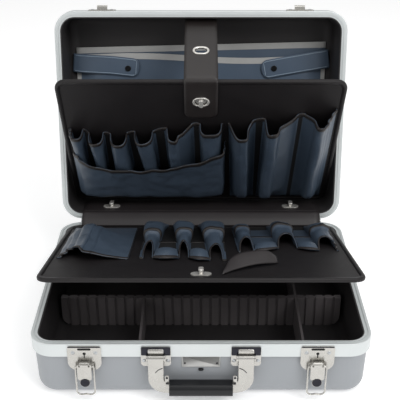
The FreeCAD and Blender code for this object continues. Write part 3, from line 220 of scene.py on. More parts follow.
studio = {
    "floor": 14.0, "floorColour": "#f4f4f4", "floorRough": 0.9, "floorGlow": 0.35,
    "world": "#ffffff", "worldStrength": 0.5, "aim": (0, 0.05, 0.2),
    "lamps": [  # name, place, width in metres and watts
        ("keyPanel", (1.3, -1.5, 2.1), 1.4, 36.0),
        ("fillPanel", (-1.6, -1.4, 1.5), 1.6, 12.0),
        ("topPanel", (0.1, 0.3, 2.6), 2.0, 16.0),
    ],
}


def makeStudio():
    size = studio["floor"]
    corners = [(-size, -size, 0), (size, -size, 0), (size, size, 0), (-size, size, 0)]
    mesh = bpy.data.meshes.new("studioFloor")
    mesh.from_pydata(corners, [], [(0, 1, 2, 3)])
    floor = bpy.data.objects.new("studioFloor", mesh)
    bpy.context.scene.collection.objects.link(floor)
    white = linear(studio["floorColour"])
    paper, shader, _ = startMaterial("matt_paper", {
        "Roughness": studio["floorRough"], "Emission Color": white, "Emission Strength": studio["floorGlow"]})
    shader.inputs["Base Color"].default_value = white
    mesh.materials.append(paper)
    world = bpy.data.worlds.new("studioWorld")
    world.use_nodes = True
    sky = world.node_tree.nodes["Background"]
    sky.inputs["Color"].default_value = linear(studio["world"])
    sky.inputs["Strength"].default_value = studio["worldStrength"]
    bpy.context.scene.world = world
    for name, place, width, power in studio["lamps"]:
        data = bpy.data.lights.new(name, "AREA")
        data.energy = power
        data.size = width
        lamp = bpy.data.objects.new(name, data)
        lamp.location = place
        lamp.rotation_euler = (Vector(studio["aim"]) - Vector(place)).to_track_quat("-Z", "Y").to_euler()
        bpy.context.scene.collection.objects.link(lamp)
    bpy.context.scene.view_settings.view_transform = "Standard"


makeCamera()
makeStudio()
print("studio ready")


# Places: a frame has its origin, a way along it and a way out of it

def frameOf(origin, out, way=1):
    return {"origin": Vector(origin), "out": Vector(out), "along": Vector((0, out[2], -out[1])) * way}


def spot(place, x, v, n):
    # x across, v along and n out, in millimetres
    return place["origin"] + (Vector((x, 0, 0)) + place["along"] * v + place["out"] * n) * mm


def spans(node, place):
    # how wide a node is, and from where to where it runs along a frame, in millimetres
    points = [(node.matrix_world @ vertex.co - place["origin"]) / mm for vertex in node.data.vertices]
    across = [point.x for point in points]
    along = [point.dot(place["along"]) for point in points]
    return max(across) - min(across), min(along), max(along)


lidAngle = math.radians(joints["lid_hinge"]["range_deg"][0])
upper = frameOf(joints["upper_panel_hinge"]["pos_m"], joints["upper_button_turn"]["axis"])
lower = frameOf(joints["lower_panel_hinge"]["pos_m"], joints["lower_button_turn"]["axis"], -1)
lid = frameOf(joints["lid_hinge"]["pos_m"], (0, math.sin(lidAngle), -math.cos(lidAngle)))


# Meshes

def makeMesh(name, points, faces, materials):
    mesh = bpy.data.meshes.new(name)
    mesh.from_pydata([tuple(point) for point in points], [], faces)
    for material in materials:
        mesh.materials.append(material)
    for polygon in mesh.polygons:
        polygon.use_smooth = True
    thing = bpy.data.objects.new(name, mesh)
    bpy.context.scene.collection.objects.link(thing)
    return thing


def freeze(thing):
    # the modifiers become part of the mesh
    graph = bpy.context.evaluated_depsgraph_get()
    mesh = bpy.data.meshes.new_from_object(thing.evaluated_get(graph))
    thing.modifiers.clear()
    thing.data = mesh


def makeGrid(name, rows, materials, thick=0, wrap=False, caps=False):
    # rows of points joined into a smooth skin, thickened to both sides
    count = len(rows[0])
    faces = []
    for j in range(len(rows) - 1):
        for i in range(count if wrap else count - 1):
            k = (i + 1) % count
            faces.append((j * count + i, j * count + k, (j + 1) * count + k, (j + 1) * count + i))
    if caps:
        faces.append(tuple(reversed(range(count))))
        faces.append(tuple(range((len(rows) - 1) * count, len(rows) * count)))
    thing = makeMesh(name, [point for row in rows for point in row], faces, materials)
    if thick:
        skin = thing.modifiers.new("thickness", "SOLIDIFY")
        skin.thickness = thick * mm
        skin.offset = 0
        freeze(thing)
    return thing


def areaOf(rows):
    # square metres of a skin
    total = 0
    for low, high in zip(rows, rows[1:]):
        for i in range(len(low) - 1):
            total += (high[i + 1] - low[i]).cross(high[i] - low[i + 1]).length / 2
    return total


def lengthOf(points):
    return sum((b - a).length for a, b in zip(points, points[1:]))


def smooth(points, count):
    # an even run of points on a curve through the given ones
    stretchSteps = 16
    ends = [points[0] * 2 - points[1]] + list(points) + [points[-1] * 2 - points[-2]]
    fine = []
    for i in range(1, len(ends) - 2):
        a, b, c, d = ends[i - 1:i + 3]
        for k in range(stretchSteps):
            t = k / stretchSteps
            fine.append((b * 2 + (c - a) * t + (a * 2 - b * 5 + c * 4 - d) * t ** 2
                         + (b * 3 - a - c * 3 + d) * t ** 3) / 2)
    fine.append(points[-1])
    return evenly(fine, count)


def evenly(points, count):
    tiny = 1e-9
    marks = [0]
    for a, b in zip(points, points[1:]):
        marks.append(marks[-1] + (b - a).length)
    result = []
    index = 0
    for k in range(count):
        want = marks[-1] * k / (count - 1)
        while index < len(points) - 2 and marks[index + 1] < want:
            index += 1
        part = (want - marks[index]) / max(marks[index + 1] - marks[index], tiny)
        result.append(points[index].lerp(points[index + 1], min(part, 1)))
    return result


def ramp(value):
    # from 0 to 1 with soft ends
    value = min(max(value, 0), 1)
    return value * value * (3 - 2 * value)


def lateShare(t, first):
    # 0 up to first, then evenly to 1 where t is 1
    return min(max((t - first) / (1 - first), 0), 1)


def wobble(x, y, seed, scale):
    seedStep = 7.3
    return noise.noise(Vector((x / scale, y / scale, seed * seedStep)))


def wear(thing, body, slotName, *hidden):
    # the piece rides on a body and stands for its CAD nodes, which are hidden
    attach(thing, body)
    if hidden:
        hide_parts(*hidden)
    return thing


# Pockets: a strip of vinyl sewn down between its bulges, with a bound mouth
# along a strip t goes from 0 at its sewn start to 1 at its mouth; lengths are in millimetres

sewing = {
    "foot": 2.8, "thick": 1.2,  # the vinyl's height over the panel's hinge line, and its gauge
    "mouthTape": 1.1, "capTape": 1, "tapeSteps": 3,  # how much thicker the tapes are
    "capTapeWidth": 6, "capTapeAt": -11,  # the tape on the edge of a cap, from the end of the fold
    "capFold": 8, "capRise": 0.45,  # a cap is wider and higher, and ends in a fold
    "rollFrom": 0.74, "rollTurn": 0.92,  # the lip between two loops rolls up and over
    "sagFrom": 0.4, "flareFrom": 0.7, "swell": 0.7, "lipEase": 0.8,
    "creases": [(1, 0.7, 0, 26), (0.4, 1, 3, 11)],  # share, pull along the strip, seed and length
    "sway": (0.6, 1, 30), "wave": (1.6, 2, 17),
    "pleatTurns": 6, "pleatTop": 0.97, "arcSteps": 240,
}


def bulgeShape(bulge, count):
    # even points from foot to foot: how far across, -1 to 1, and how high, 0 to 1
    half = (bulge["right"] - bulge["left"]) / 2
    if "shape" in bulge:
        drawn = [Vector((a * half, r * bulge["height"], 0)) for a, r in bulge["shape"]]
        points = smooth(drawn, count)
    else:
        fine = []
        for k in range(sewing["arcSteps"] + 1):
            angle = math.pi * k / sewing["arcSteps"]
            reach = abs(math.cos(angle)) ** bulge["square"]
            fine.append(Vector((-math.copysign(reach, math.cos(angle)) * half,
                                math.sin(angle) ** bulge["square"] * bulge["height"], 0)))
        points = evenly(fine, count)
    return [(point.x / half, min(max(point.y / bulge["height"], 0), 1)) for point in points]


def rowColumns(look):
    # each column has its kind and bulge, then its place: on an edge, in a web, or across and up a bulge
    bulges = look["bulges"]
    columns = [("edge", 0, -1), ("edge", 0, -0.5)]
    for i, bulge in enumerate(bulges):
        columns += [("bulge", i, a, r) for a, r in bulgeShape(bulge, look["steps"])]
        if i + 1 < len(bulges):
            columns += [("web", i, k / look["webSteps"]) for k in range(1, look["webSteps"])]
    last = len(bulges) - 1
    return columns + [("edge", last, 0.5), ("edge", last, 1)]


def mouthOf(bulge, across):
    # how far the mouth is from the hinge, even or by a table across the bulge
    if "mouths" not in bulge:
        return bulge["mouth"]
    table = bulge["mouths"]
    for (a, low), (b, high) in zip(table, table[1:]):
        if across <= b:
            return low + (high - low) * ramp((across - a) / (b - a))
    return table[-1][1]


def columnMouth(look, column):
    # where a column ends: the lip between the bulges reaches further than their tops
    bulge = look["bulges"][column[1]]
    lip = look.get("lip", 0)
    if column[0] == "edge":
        return mouthOf(bulge, math.copysign(1, column[2])) + lip
    if column[0] == "web":
        part = column[2]
        even = mouthOf(bulge, 1) * (1 - part) + mouthOf(look["bulges"][column[1] + 1], -1) * part
        return even + lip + look.get("bow", 0) * math.sin(math.pi * part)
    return mouthOf(bulge, column[2]) + lip * (1 - column[3]) ** sewing["lipEase"]


def bulgePoint(look, column, t, v, lean, spread):
    # how far across and how high a point of a bulge lies
    bulge = look["bulges"][column[1]]
    across, rise = column[2], column[3]
    buckle, seed = look["buckle"], look["seed"]
    half = (bulge["right"] - bulge["left"]) / 2 + spread
    x = (bulge["left"] + bulge["right"]) / 2 + lean + across * half
    swell = ramp((v - look["start"]) / look["toe"]) ** sewing["swell"] if look["toe"] else 1
    height = bulge["height"] * swell * rise
    height *= 1 - look.get("sag", 0) * ramp(lateShare(t, sewing["sagFrom"]))
    crown = look.get("crown", 0) * rise * ramp((look.get("crownTo", 0) - v) / sewing["capFold"])
    height += bulge["height"] * crown * sewing["capRise"]
    x += across * half * crown
    height += look["flare"] * rise * ramp(lateShare(t, sewing["flareFrom"]))
    for share, pull, seedStep, length in sewing["creases"]:
        height += rise * swell * buckle * share * wobble(x, v * pull, seed + seedStep, length)
    pull, seedStep, length = sewing["sway"]
    x += rise * buckle * wobble(x, v * pull, seed + seedStep, length)
    fold = bulge.get("pleat", {}).get("left" if across < 0 else "right", 0)
    if fold and rise < sewing["pleatTop"]:
        x += fold * math.sin(rise * math.pi * sewing["pleatTurns"]) * swell
    return x, max(height, 0)


def rowPoint(panel, look, column, t):
    bulge = look["bulges"][column[1]]
    lean = bulge["slant"] * (t - 0.5)
    spread = bulge.get("spread", 0) * (t - 0.5) / 2
    v = look["start"] + (columnMouth(look, column) - look["start"]) * t
    height = 0
    if column[0] == "edge":
        side = bulge["left"] if column[2] < 0 else bulge["right"]
        x = side + lean + (look["hem"] + spread) * column[2]
    elif column[0] == "web":
        part = column[2]
        other = look["bulges"][column[1] + 1]
        nextLean = (other["slant"] - other.get("spread", 0) / 2) * (t - 0.5)
        x = (bulge["right"] + lean + spread) * (1 - part) + (other["left"] + nextLean) * part
        rolled = math.pi * lateShare(t, sewing["rollFrom"]) * sewing["rollTurn"]
        height = look.get("curl", 0) * math.sin(rolled) * math.sin(math.pi * part) ** 0.5
    else:
        x, height = bulgePoint(look, column, t, v, lean, spread)
    depth, seedStep, length = sewing["wave"]
    v += depth * t ** 3 * wobble(x, 0, look["seed"] + seedStep, length)
    return spot(panel, x, v, sewing["foot"] + height)


def paint(thing, marks):
    # each side of a thickened skin keeps the order of the grid's faces
    for polygon in thing.data.polygons:
        if polygon.index < 2 * len(marks):
            polygon.material_index = marks[polygon.index % len(marks)]


def makeRow(node, panel, body, look):
    columns = rowColumns(look)
    count = look["rows"]
    rows = [[rowPoint(panel, look, column, j / count) for column in columns] for j in range(count + 1)]
    marks = []
    for j in range(count):
        for left, right in zip(columns, columns[1:]):
            # webs and hems take the near-black painted shade up to a share of the strip's length; the bulges keep
            # the vinyl
            dark = "bulge" not in (left[0], right[0]) and j < count * look.get("shadeTo", 1)
            marks.append(1 if dark else 0)
    strip = makeGrid(node + ".vinyl", rows, [pocketVinyl, webShade], sewing["thick"])
    paint(strip, marks)
    steps = sewing["tapeSteps"]
    mouthShares = [1 - look["tape"] * (1 - k / steps) for k in range(steps + 1)]
    band = [[rowPoint(panel, look, column, t) for column in columns] for t in mouthShares]
    tape = makeGrid(node + ".mouth_tape", band, [mouthTape], sewing["thick"] + sewing["mouthTape"])
    wear(strip, body, "pocket_vinyl", node)
    tapes = [wear(tape, body, "binding_vinyl")]
    if "crown" in look:
        fold = []
        for k in range(steps + 1):
            along = look["crownTo"] + sewing["capTapeAt"] + sewing["capTapeWidth"] * k / steps - look["start"]
            fold.append([rowPoint(panel, look, column, along / (columnMouth(look, column) - look["start"]))
                         for column in columns])
        capTape = makeGrid(node + ".cap_tape", fold, [mouthTape], sewing["thick"] + sewing["capTape"])
        tapes.append(wear(capTape, body, "binding_vinyl"))


# shapes of bulges, from foot to foot: share of the half width, share of the height
leftFace = [(-1, 0), (-0.96, 0.5), (-0.88, 0.94), (-0.6, 1), (-0.32, 0.96), (-0.2, 0.8), (-0.1, 0.6),
            (0.3, 0.42), (0.75, 0.2), (1, 0)]
rightFace = [(-1, 0), (-0.8, 0.34), (-0.52, 0.78), (-0.24, 0.98), (0.1, 1), (0.36, 0.98), (0.46, 0.8),
             (0.52, 0.46), (0.66, 0.26), (0.84, 0.12), (1, 0)]
middleFace = [(-1, 0), (-0.7, 0.22), (-0.4, 0.5), (-0.28, 0.86), (-0.12, 1), (0.16, 0.99), (0.34, 0.84),
              (0.5, 0.56), (0.8, 0.24), (1, 0)]
bigShape = [(-1, 0), (-0.92, 0.25), (-0.74, 0.58), (-0.5, 0.9), (-0.28, 1), (-0.06, 0.86), (0.25, 0.5),
            (0.62, 0.2), (1, 0)]

# a bulge runs from left to right and rises to height; slant and spread are how far it leans and widens
# on its way to the mouth, square or shape gives its outline, and pleat the depth of folds on a side
# a row is sewn down at start and swells over its toe; hem is its flat edge and buckle the depth of creases
# flare lifts the mouth and sag lowers it; lip, curl and bow shape it between the bulges
# crown widens a cap up to crownTo; tape, and how far the painted shade on the webs and hems reaches, are shares of
# the strip's length

upperLoops = {
    "bulges": [
        {"left": -199, "right": -184, "height": 20, "slant": -4, "mouth": 193, "square": 0.75, "spread": 9,
         "pleat": {"left": 1.6}},
        {"left": -172, "right": -153, "height": 23, "slant": -3, "mouth": 184, "square": 0.75, "spread": 6},
        {"left": -140, "right": -114, "height": 24, "slant": -4, "mouth": 182, "square": 0.72, "spread": -2},
        {"left": -97, "right": -73, "height": 24, "slant": -9, "mouth": 187, "square": 0.72, "spread": 7},
        {"left": -51, "right": -13, "height": 24, "slant": -3, "shape": leftFace, "spread": 3,
         "mouths": [(-1, 196), (-0.5, 192), (0, 195), (1, 205)]},
        {"left": 1, "right": 31, "height": 22, "slant": -2, "mouth": 205, "square": 0.7, "spread": 5},
    ],
    "start": 92, "toe": 0, "hem": 3, "flare": 1.5, "buckle": 2.2, "bow": 3, "tape": 0.066,
    "steps": 30, "webSteps": 5, "rows": 30, "seed": 1,
}
upperWide = {
    "bulges": [
        {"left": -200, "right": 37, "height": 28, "slant": 0, "square": 0.3,
         "pleat": {"left": 2.2, "right": 1},
         "mouths": [(-1, 152), (-0.9, 145), (-0.72, 131), (-0.5, 124), (-0.17, 121), (0.18, 126), (0.6, 140),
                    (0.94, 158), (1, 162)]},
    ],
    "start": 19, "toe": 34, "hem": 3, "flare": 2, "buckle": 2.6, "tape": 0.055,
    "steps": 90, "rows": 34, "seed": 2,
}
upperTall = {
    "bulges": [
        {"left": 47, "right": 84, "height": 29, "slant": -7, "shape": rightFace,
         "mouths": [(-1, 206), (-0.3, 205), (0.4, 206), (1, 214)]},
        {"left": 97, "right": 146, "height": 31, "slant": 3, "shape": leftFace,
         "mouths": [(-1, 217), (-0.4, 219), (0.1, 221), (1, 226)]},
        {"left": 156, "right": 203, "height": 31, "slant": 3, "shape": middleFace, "pleat": {"right": 1.2},
         "mouths": [(-1, 229), (-0.2, 233), (0.25, 234), (1, 239)]},
    ],
    "start": 12, "toe": 42, "hem": 2, "flare": 2, "buckle": 2.6, "bow": 2, "tape": 0.033,
    "steps": 40, "webSteps": 5, "rows": 44, "seed": 3,
}
makeRow("upper_loops", upper, "upper_panel", upperLoops)
makeRow("upper_wide_pocket", upper, "upper_panel", upperWide)
makeRow("upper_tall_pockets", upper, "upper_panel", upperTall)
print("upper pockets sewn")

lowerBig = {
    "bulges": [
        {"left": -203, "right": -106, "height": 24, "slant": 0, "shape": bigShape, "pleat": {"left": 3},
         "mouths": [(-1, 206), (-0.7, 192), (-0.42, 206), (-0.2, 222), (1, 213)]},
    ],
    "start": 14, "toe": 90, "hem": 3, "flare": 0, "buckle": 4.5, "sag": 0.42, "tape": 0.03,
    "steps": 64, "rows": 40, "seed": 4,
}
narrow = {"height": 17, "mouth": 158, "square": 0.75}
lowerLoops = {
    "bulges": [
        dict(narrow, left=-84, right=-64, slant=-4, spread=-13),
        dict(narrow, left=-36, right=-17, slant=4, spread=-12),
        dict(narrow, left=7, right=31, slant=6, mouth=170, spread=-12),
    ],
    "start": 14, "toe": 70, "hem": 5, "flare": 0, "buckle": 3, "sag": 0.25, "crown": 0.95, "crownTo": 122,
    "lip": 52, "curl": 12, "bow": 12, "shadeTo": 0.76, "tape": 0.024,
    "steps": 30, "webSteps": 12, "rows": 50, "seed": 5,
}
sideBulges = [
    dict(narrow, left=55, right=75, slant=5, mouth=136),
    dict(narrow, left=112, right=140, slant=6, mouth=118, height=20),
    dict(narrow, left=172, right=198, slant=4, mouth=128, pleat={"right": 1.6}),
]
lowerSide = dict(lowerLoops, bulges=sideBulges, hem=3, lip=36, curl=10, bow=10, shadeTo=0.12, crown=0.45,
                 crownTo=88, seed=6)
makeRow("lower_big_pocket", lower, "lower_panel", lowerBig)
makeRow("lower_loops", lower, "lower_panel", lowerLoops)
makeRow("lower_side_loops", lower, "lower_panel", lowerSide)
print("lower pockets sewn")


# Bound edges of the two boards: a tape folded round the edge

def roundedPath(width, low, high, radius, count=10):
    # points of a rounded rectangle and the way out at each
    result = []
    for turn in range(4):
        x = (width / 2 - radius) * (1 if turn in (0, 3) else -1)
        v = high - radius if turn in (0, 1) else low + radius
        for k in range(count + 1):
            angle = math.pi / 2 * (turn + k / count)
            out = Vector((math.cos(angle), math.sin(angle)))
            result.append((Vector((x, v)) + out * radius, out))
    return result


bound = {
    "radius": 18, "width": 18.6,
    "section": [(7, 2.9), (1.2, 2.9), (0.35, 2.3), (0, 0), (0.35, -2.3), (1.2, -2.9), (7, -2.9),
                (7, -2.1), (0.7, -2.1), (0.7, 2.1), (7, 2.1)],  # how far in from the edge, and how far out
}


def makeBinding(node, panel, body):
    width, low, high = spans(nodes[node], panel)
    path = roundedPath(width, low, high, bound["radius"])
    rows = []
    for point, out in path + path[:1]:
        row = []
        for inset, n in bound["section"]:
            here = point - out * inset
            row.append(spot(panel, here.x, here.y, n))
        rows.append(row)
    tape = makeGrid(node + ".tape", rows, [bindingTape], wrap=True)
    wear(tape, body, "binding_vinyl", node)


makeBinding("upper_binding", upper, "upper_panel")
makeBinding("lower_binding", lower, "lower_panel")
print("edges bound")


# Straps: a ribbon along a line of points in a frame, with round ends

def ribbon(name, place, cut, material, across=(1, 0, 0)):
    count, columns = cut["count"], cut["columns"]
    leastSquare = 0.2  # keeps a round end from closing to a point
    path = smooth([Vector(point) for point in cut["line"]], count)
    long = lengthOf(path)
    rows = []
    for k, point in enumerate(path):
        half = cut["width"] / 2
        for radius, away in zip(cut["ends"], (long * k / (count - 1), long * (1 - k / (count - 1)))):
            if away < radius:
                half = cut["width"] / 2 - radius
                half += math.sqrt(max(radius ** 2 - (radius - away) ** 2, leastSquare))
        ahead = path[min(k + 1, count - 1)] - path[max(k - 1, 0)]
        side = Vector(across)
        side = (side - ahead * (side.dot(ahead) / ahead.length_squared)).normalized()
        row = []
        for i in range(columns):
            here = point + side * half * (2 * i / (columns - 1) - 1)
            row.append(spot(place, here.x, here.y, here.z))
        rows.append(row)
    thing = makeGrid(name, rows, [material], cut["thick"])
    return {"thing": thing, "area": areaOf(rows), "long": long * mm, "path": path, "rows": rows}


strapCut = {
    "line": [(0, 270.8, -158.6), (0, 280, -128), (0, 292, -80), (0, 300, -34), (0, 304.5, -6), (0, 304.6, 2),
             (0, 301, 4.35), (0, 290, 4.3), (0, 255, 4.25), (0, 221, 4.3)],
    "width": 50, "thick": 1.5, "ends": (0, 12), "count": 90, "columns": 11,
    "overEdge": (0, 303, 4), "faceAt": 4.3, "faceWeight": 9,  # where it bends over, and lies on the panel
}
strapData = ribbon("panel_strap.leatherette", upper, strapCut, strapLeather)
strap = strapData["thing"]


# Small hard pieces: rings of one outline stacked into a plate, a stud or an eyelet

def makeRings(name, place, x, v, rings, material, close=False):
    # each ring has its width, height, corner radius and height over the face
    cornerSteps = 6
    rows = []
    for width, height, radius, n in rings:
        outline = roundedPath(width, -height / 2, height / 2, radius, cornerSteps)
        rows.append([spot(place, x + point.x, v + point.y, n) for point, _ in outline])
    if close:
        rows.append(rows[0])
    return makeGrid(name, rows, [material], wrap=True, caps=not close)


def makeBead(name, points, radius, material, sides=8):
    # a round bead along a line of points, thinner at its two ends
    endShare = 0.4
    rows = []
    for k, point in enumerate(points):
        ahead = (points[min(k + 1, len(points) - 1)] - points[max(k - 1, 0)]).normalized()
        side = ahead.orthogonal().normalized()
        other = ahead.cross(side)
        size = radius * mm * (endShare if k in (0, len(points) - 1) else 1)
        rows.append([point + (side * math.cos(a) + other * math.sin(a)) * size
                     for a in (2 * math.pi * i / sides for i in range(sides))])
    return makeGrid(name, rows, [material], wrap=True, caps=True)


# a domed head with a recess: share of its width, share for the corner, and height
screwHead = [(1, 0.5, 0), (1, 0.5, 0.5), (0.85, 0.42, 1), (0.5, 0.25, 1.1), (0.42, 0.2, 0.4)]


def screw(name, place, x, v, n, size, body):
    rings = [(size * wide, size * wide, size * corner, n + up) for wide, corner, up in screwHead]
    return wear(makeRings(name, place, x, v, rings, darkSteel), body, "hinge_steel")


# The strap's two eyelets and the holes they line

eyelet = {
    "rings": [(18, 12.4, 6, 0.5), (19.4, 13.8, 6.7, 1.5), (21.8, 16.2, 7.9, 1.9), (24.6, 19, 9.3, 1.6),
              (26, 20.4, 10, 0.8)],
    "hole": [(17.4, 11.8, 5.8, -3), (17.4, 11.8, 5.8, 3)],
    "upperAt": -64,
}


def strapFrame(path, distance):
    # a frame on the strap at the point of least distance
    index = min(range(1, len(path) - 1), key=lambda k: distance(path[k]))
    along = spot(upper, *path[index - 1]) - spot(upper, *path[index + 1])
    along.normalize()
    return {"origin": spot(upper, *path[index]), "along": along, "out": Vector((0, -along.z, along.y))}


def fromLock(point):
    return abs(point.y - lockMiddle) + abs(point.z - strapCut["faceAt"]) * strapCut["faceWeight"]


def fromUpperPlace(point):
    return abs(point.z - eyelet["upperAt"])


path = strapData["path"]
_, lockLow, lockHigh = spans(nodes["upper_lock_plate"], upper)
lockMiddle = (lockLow + lockHigh) / 2
eyeletFrames = [strapFrame(path, fromLock), strapFrame(path, fromUpperPlace)]
for k, place in enumerate(eyeletFrames):
    cutter = makeRings("cutter%d" % k, place, 0, 0, eyelet["hole"], strapLeather)
    hole = strap.modifiers.new("hole", "BOOLEAN")
    hole.operation = "DIFFERENCE"
    hole.object = cutter
    freeze(strap)
    bpy.data.objects.remove(cutter)
lowRing = makeRings("strap_eyelets.lower", eyeletFrames[0], 0, 0, eyelet["rings"], brightNickel, True)
wear(lowRing, "upper_panel", "lock_nickel")
highRing = makeRings("strap_eyelets.upper", eyeletFrames[1], 0, 0, eyelet["rings"], brightNickel, True)
blended = ((strap, "panel_leatherette", "panel_strap"), (highRing, "lock_nickel", "strap_eyelets"))
for thing, slotName, node in blended:
    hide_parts(node)
    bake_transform(thing)
print("strap hung")


# The flap over the hinge and its soft bridge down to the lower panel

flapCut = {
    "line": [(0, 15.45, -4.2), (0, 16.2, -28), (0, 17.1, -52)],
    "width": 394, "thick": 1.5, "ends": (0, 10), "count": 14, "columns": 41,
}
bridgeTop = (0, 15.4, -1)
bridgeLine = [(0, 15.45, -3.9), bridgeTop, (0, 14.9, 2.2), (0, 11.5, 6.4), (0, 5.5, 12)]
bridgeLift = 4.2  # how far over the lower panel's hinge the bridge ends
flap = ribbon("hinge_flap.leatherette", lid, flapCut, flapLeather)
wear(flap["thing"], "lid", "panel_leatherette", "hinge_flap")
_, hingeY, hingeZ = joints["lower_panel_hinge"]["pos_m"]
lowPoint = Vector((0, hingeY, hingeZ + bridgeLift * mm))
lowWay = (lowPoint - lid["origin"]) / mm
lowEnd = (0, lowWay.dot(lid["along"]), lowWay.dot(lid["out"]))
bridgeCut = dict(flapCut, line=bridgeLine + [lowEnd], ends=(0, 0), count=18)
bridge = ribbon("flap_bridge.leatherette", lid, bridgeCut, flapLeather)
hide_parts("flap_bridge")
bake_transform(bridge["thing"])
print("flap laid")


# Document pocket: a rear and a front sheet with grey tape, two snap straps

papers = {
    "half": 208, "low": 37, "tape": 10, "side": 7, "sideTop": 250, "thick": 0.9, "tapeThick": 1.7,
    "rear": -82.2, "front": -74.2, "rearSeed": 11, "frontSeed": 12,  # how far out each sheet hangs
    "rearTop": 282, "rearSlope": 0.024,
    "frontTop": 265, "frontWave": 4, "waveAt": -110, "waveLength": 60,  # the front mouth sags in a wave
    "edge": 40, "bellyFrom": 120, "belly": 0.25, "ripple": 0.7, "rippleSize": 60,
    "rows": 24, "columns": 48,
}


def rearTop(x):
    return papers["rearTop"] + x * papers["rearSlope"]


def frontTop(x):
    return papers["frontTop"] + papers["frontWave"] * math.cos((x - papers["waveAt"]) / papers["waveLength"])


def pouchPoint(x, v, middle, seed):
    # flat at the sides and foot, fuller towards the mouth
    edge = ramp((papers["half"] - abs(x)) / papers["edge"]) * ramp((v - papers["low"]) / papers["edge"])
    full = 1 - papers["belly"] + papers["belly"] * ramp((v - papers["bellyFrom"]) / papers["bellyFrom"])
    n = papers["rear"] + (middle - papers["rear"]) * edge * full
    return spot(lid, x, v, n - papers["ripple"] * edge * (1 + wobble(x, v, seed, papers["rippleSize"])))


def pouchSheet(name, layer, lowAt, highAt, left, right, thick, material):
    _, middle, seed = layer
    rows = []
    for j in range(papers["rows"] + 1):
        row = []
        for i in range(papers["columns"] + 1):
            x = left + (right - left) * i / papers["columns"]
            v = lowAt(x) + (highAt(x) - lowAt(x)) * j / papers["rows"]
            row.append(pouchPoint(x, v, middle, seed))
        rows.append(row)
    return makeGrid(name, rows, [material], thick), rows


def pocketFoot(x):
    return papers["low"]


def sideTop(x):
    return min(papers["sideTop"], frontTop(x))


half = papers["half"]
layers = {"rear": (rearTop, papers["rear"], papers["rearSeed"]),
          "front": (frontTop, papers["front"], papers["frontSeed"])}
for name, layer in layers.items():
    topAt = layer[0]
    sheet, rows = pouchSheet("document_pocket." + name, layer, pocketFoot, topAt, -half, half,
                             papers["thick"], documentVinyl)
    tape, _ = pouchSheet("document_pocket.%s_tape" % name, layer, lambda x: topAt(x) - papers["tape"], topAt,
                         -half, half, papers["tapeThick"], greyTape)
    wear(tape, "lid", "document_vinyl")
    wear(sheet, "lid", "document_vinyl", *(["document_pocket"] if name == "front" else []))
    high = lengthOf([row[len(row) // 2] for row in rows])
for side, sign in (("left", -1), ("right", 1)):
    tape, _ = pouchSheet("document_pocket.%s_side_tape" % side, layers["front"], pocketFoot, sideTop,
                         sign * half, sign * (half - papers["side"]), papers["tapeThick"], greyTape)
    wear(tape, "lid", "document_vinyl")

snapCut = {"width": 31, "thick": 1.3, "ends": (0, 12), "count": 44, "columns": 13}
snapLines = {
    "left": [(-213, 253, -76), (-196, 251.6, -72.4), (-150, 249, -72.4), (-121.8, 246, -72.4),
             (-103, 244, -72.4)],
    "right": [(213, 260, -76), (196, 257.5, -72.4), (150, 249.5, -72.4), (121.8, 244.4, -72.4),
              (101, 240.5, -72.4)],
}
weldBead = {"lift": 0.8, "radius": 0.7, "sides": 6}
for side, line in snapLines.items():
    made = ribbon(side + "_document_strap.vinyl", lid, dict(snapCut, line=line), documentVinyl, (0, 1, 0))
    wear(made["thing"], "lid", "document_vinyl", side + "_document_strap")
    rows = made["rows"]
    border = [row[1] for row in rows[1:-3]] + rows[-3][1:-1] + [row[-2] for row in rows[-4:0:-1]]
    raised = [point + lid["out"] * weldBead["lift"] * mm for point in border]
    weld = makeBead(side + "_document_strap.weld", raised, weldBead["radius"], weldEdge, weldBead["sides"])
    wear(weld, "lid", "document_vinyl")
print("document pocket hung")


# The pull on the lower panel: a short band sewn at its two ends, its back edge standing up

pull = {
    "front": [(28, 295, 3.2), (48, 275, 5), (76, 256, 6.5), (106, 238, 3.4)],
    "back": [(31, 284, 5), (41, 254, 14), (58, 240, 19), (90, 229, 19), (104, 226, 10)],
    "count": 26, "columns": 8, "arch": 1.6, "thick": 1.8,
}
edges = [smooth([Vector(point) for point in pull[key]], pull["count"]) for key in ("front", "back")]
rows = []
for low, high in zip(*edges):
    row = []
    for i in range(pull["columns"]):
        share = i / (pull["columns"] - 1)
        here = low.lerp(high, share)
        row.append(spot(lower, here.x, here.y, here.z + pull["arch"] * math.sin(math.pi * share)))
    rows.append(row)
pullBand = makeGrid("lower_pull.leatherette", rows, [flapLeather], pull["thick"])
wear(pullBand, "lower_panel", "panel_leatherette", "lower_pull")
high = lengthOf([row[len(row) // 2] for row in rows])


# Front of the case: bare plate, bumper, trim of the brackets, latches and handle
# z is the height over the floor; rings are as in makeRings

front = frameOf((0, -0.16395, 0), (0, -0.9994, -0.0349))  # on the shell, with its draft of 2 degrees
face = frameOf((0, -0.17, 0), (0, -1, 0))  # on the edge frame
namePlate = {
    "z": 59.8,
    "rings": [(52, 19, 1.5, -0.2), (52, 19, 1.5, 0.7), (51.2, 18.2, 1.2, 1), (49.6, 16.6, 0.9, 1),
              (49, 16, 0.8, 0.65)],
    "screwX": 21.5, "screwZ": 57, "screwOut": 0.6, "screwSize": 2.6,
}
bumper = {"z": 46.5, "rings": [(7, 4, 1.6, -0.2), (7, 4, 1.6, 1.4), (6, 3, 1.2, 2.1), (4, 1.4, 0.6, 2.3)]}
bracketTrim = {
    "x": 60, "z": 80.2,
    "cover": [(39, 13.4, 1.6, 1.5), (39, 13.4, 1.6, 2), (38.2, 12.6, 1.2, 2.3)],
    "roll": [(21, 8.6, 1.6, 2.2), (21, 7.8, 1.6, 3.6), (20.6, 5.6, 1.4, 4.4), (20, 2.6, 0.8, 4.8)],
}
slotZ = spans(nodes["left_latch_plate"], face)[2] - 4.5  # the slot's middle, below the plate's top
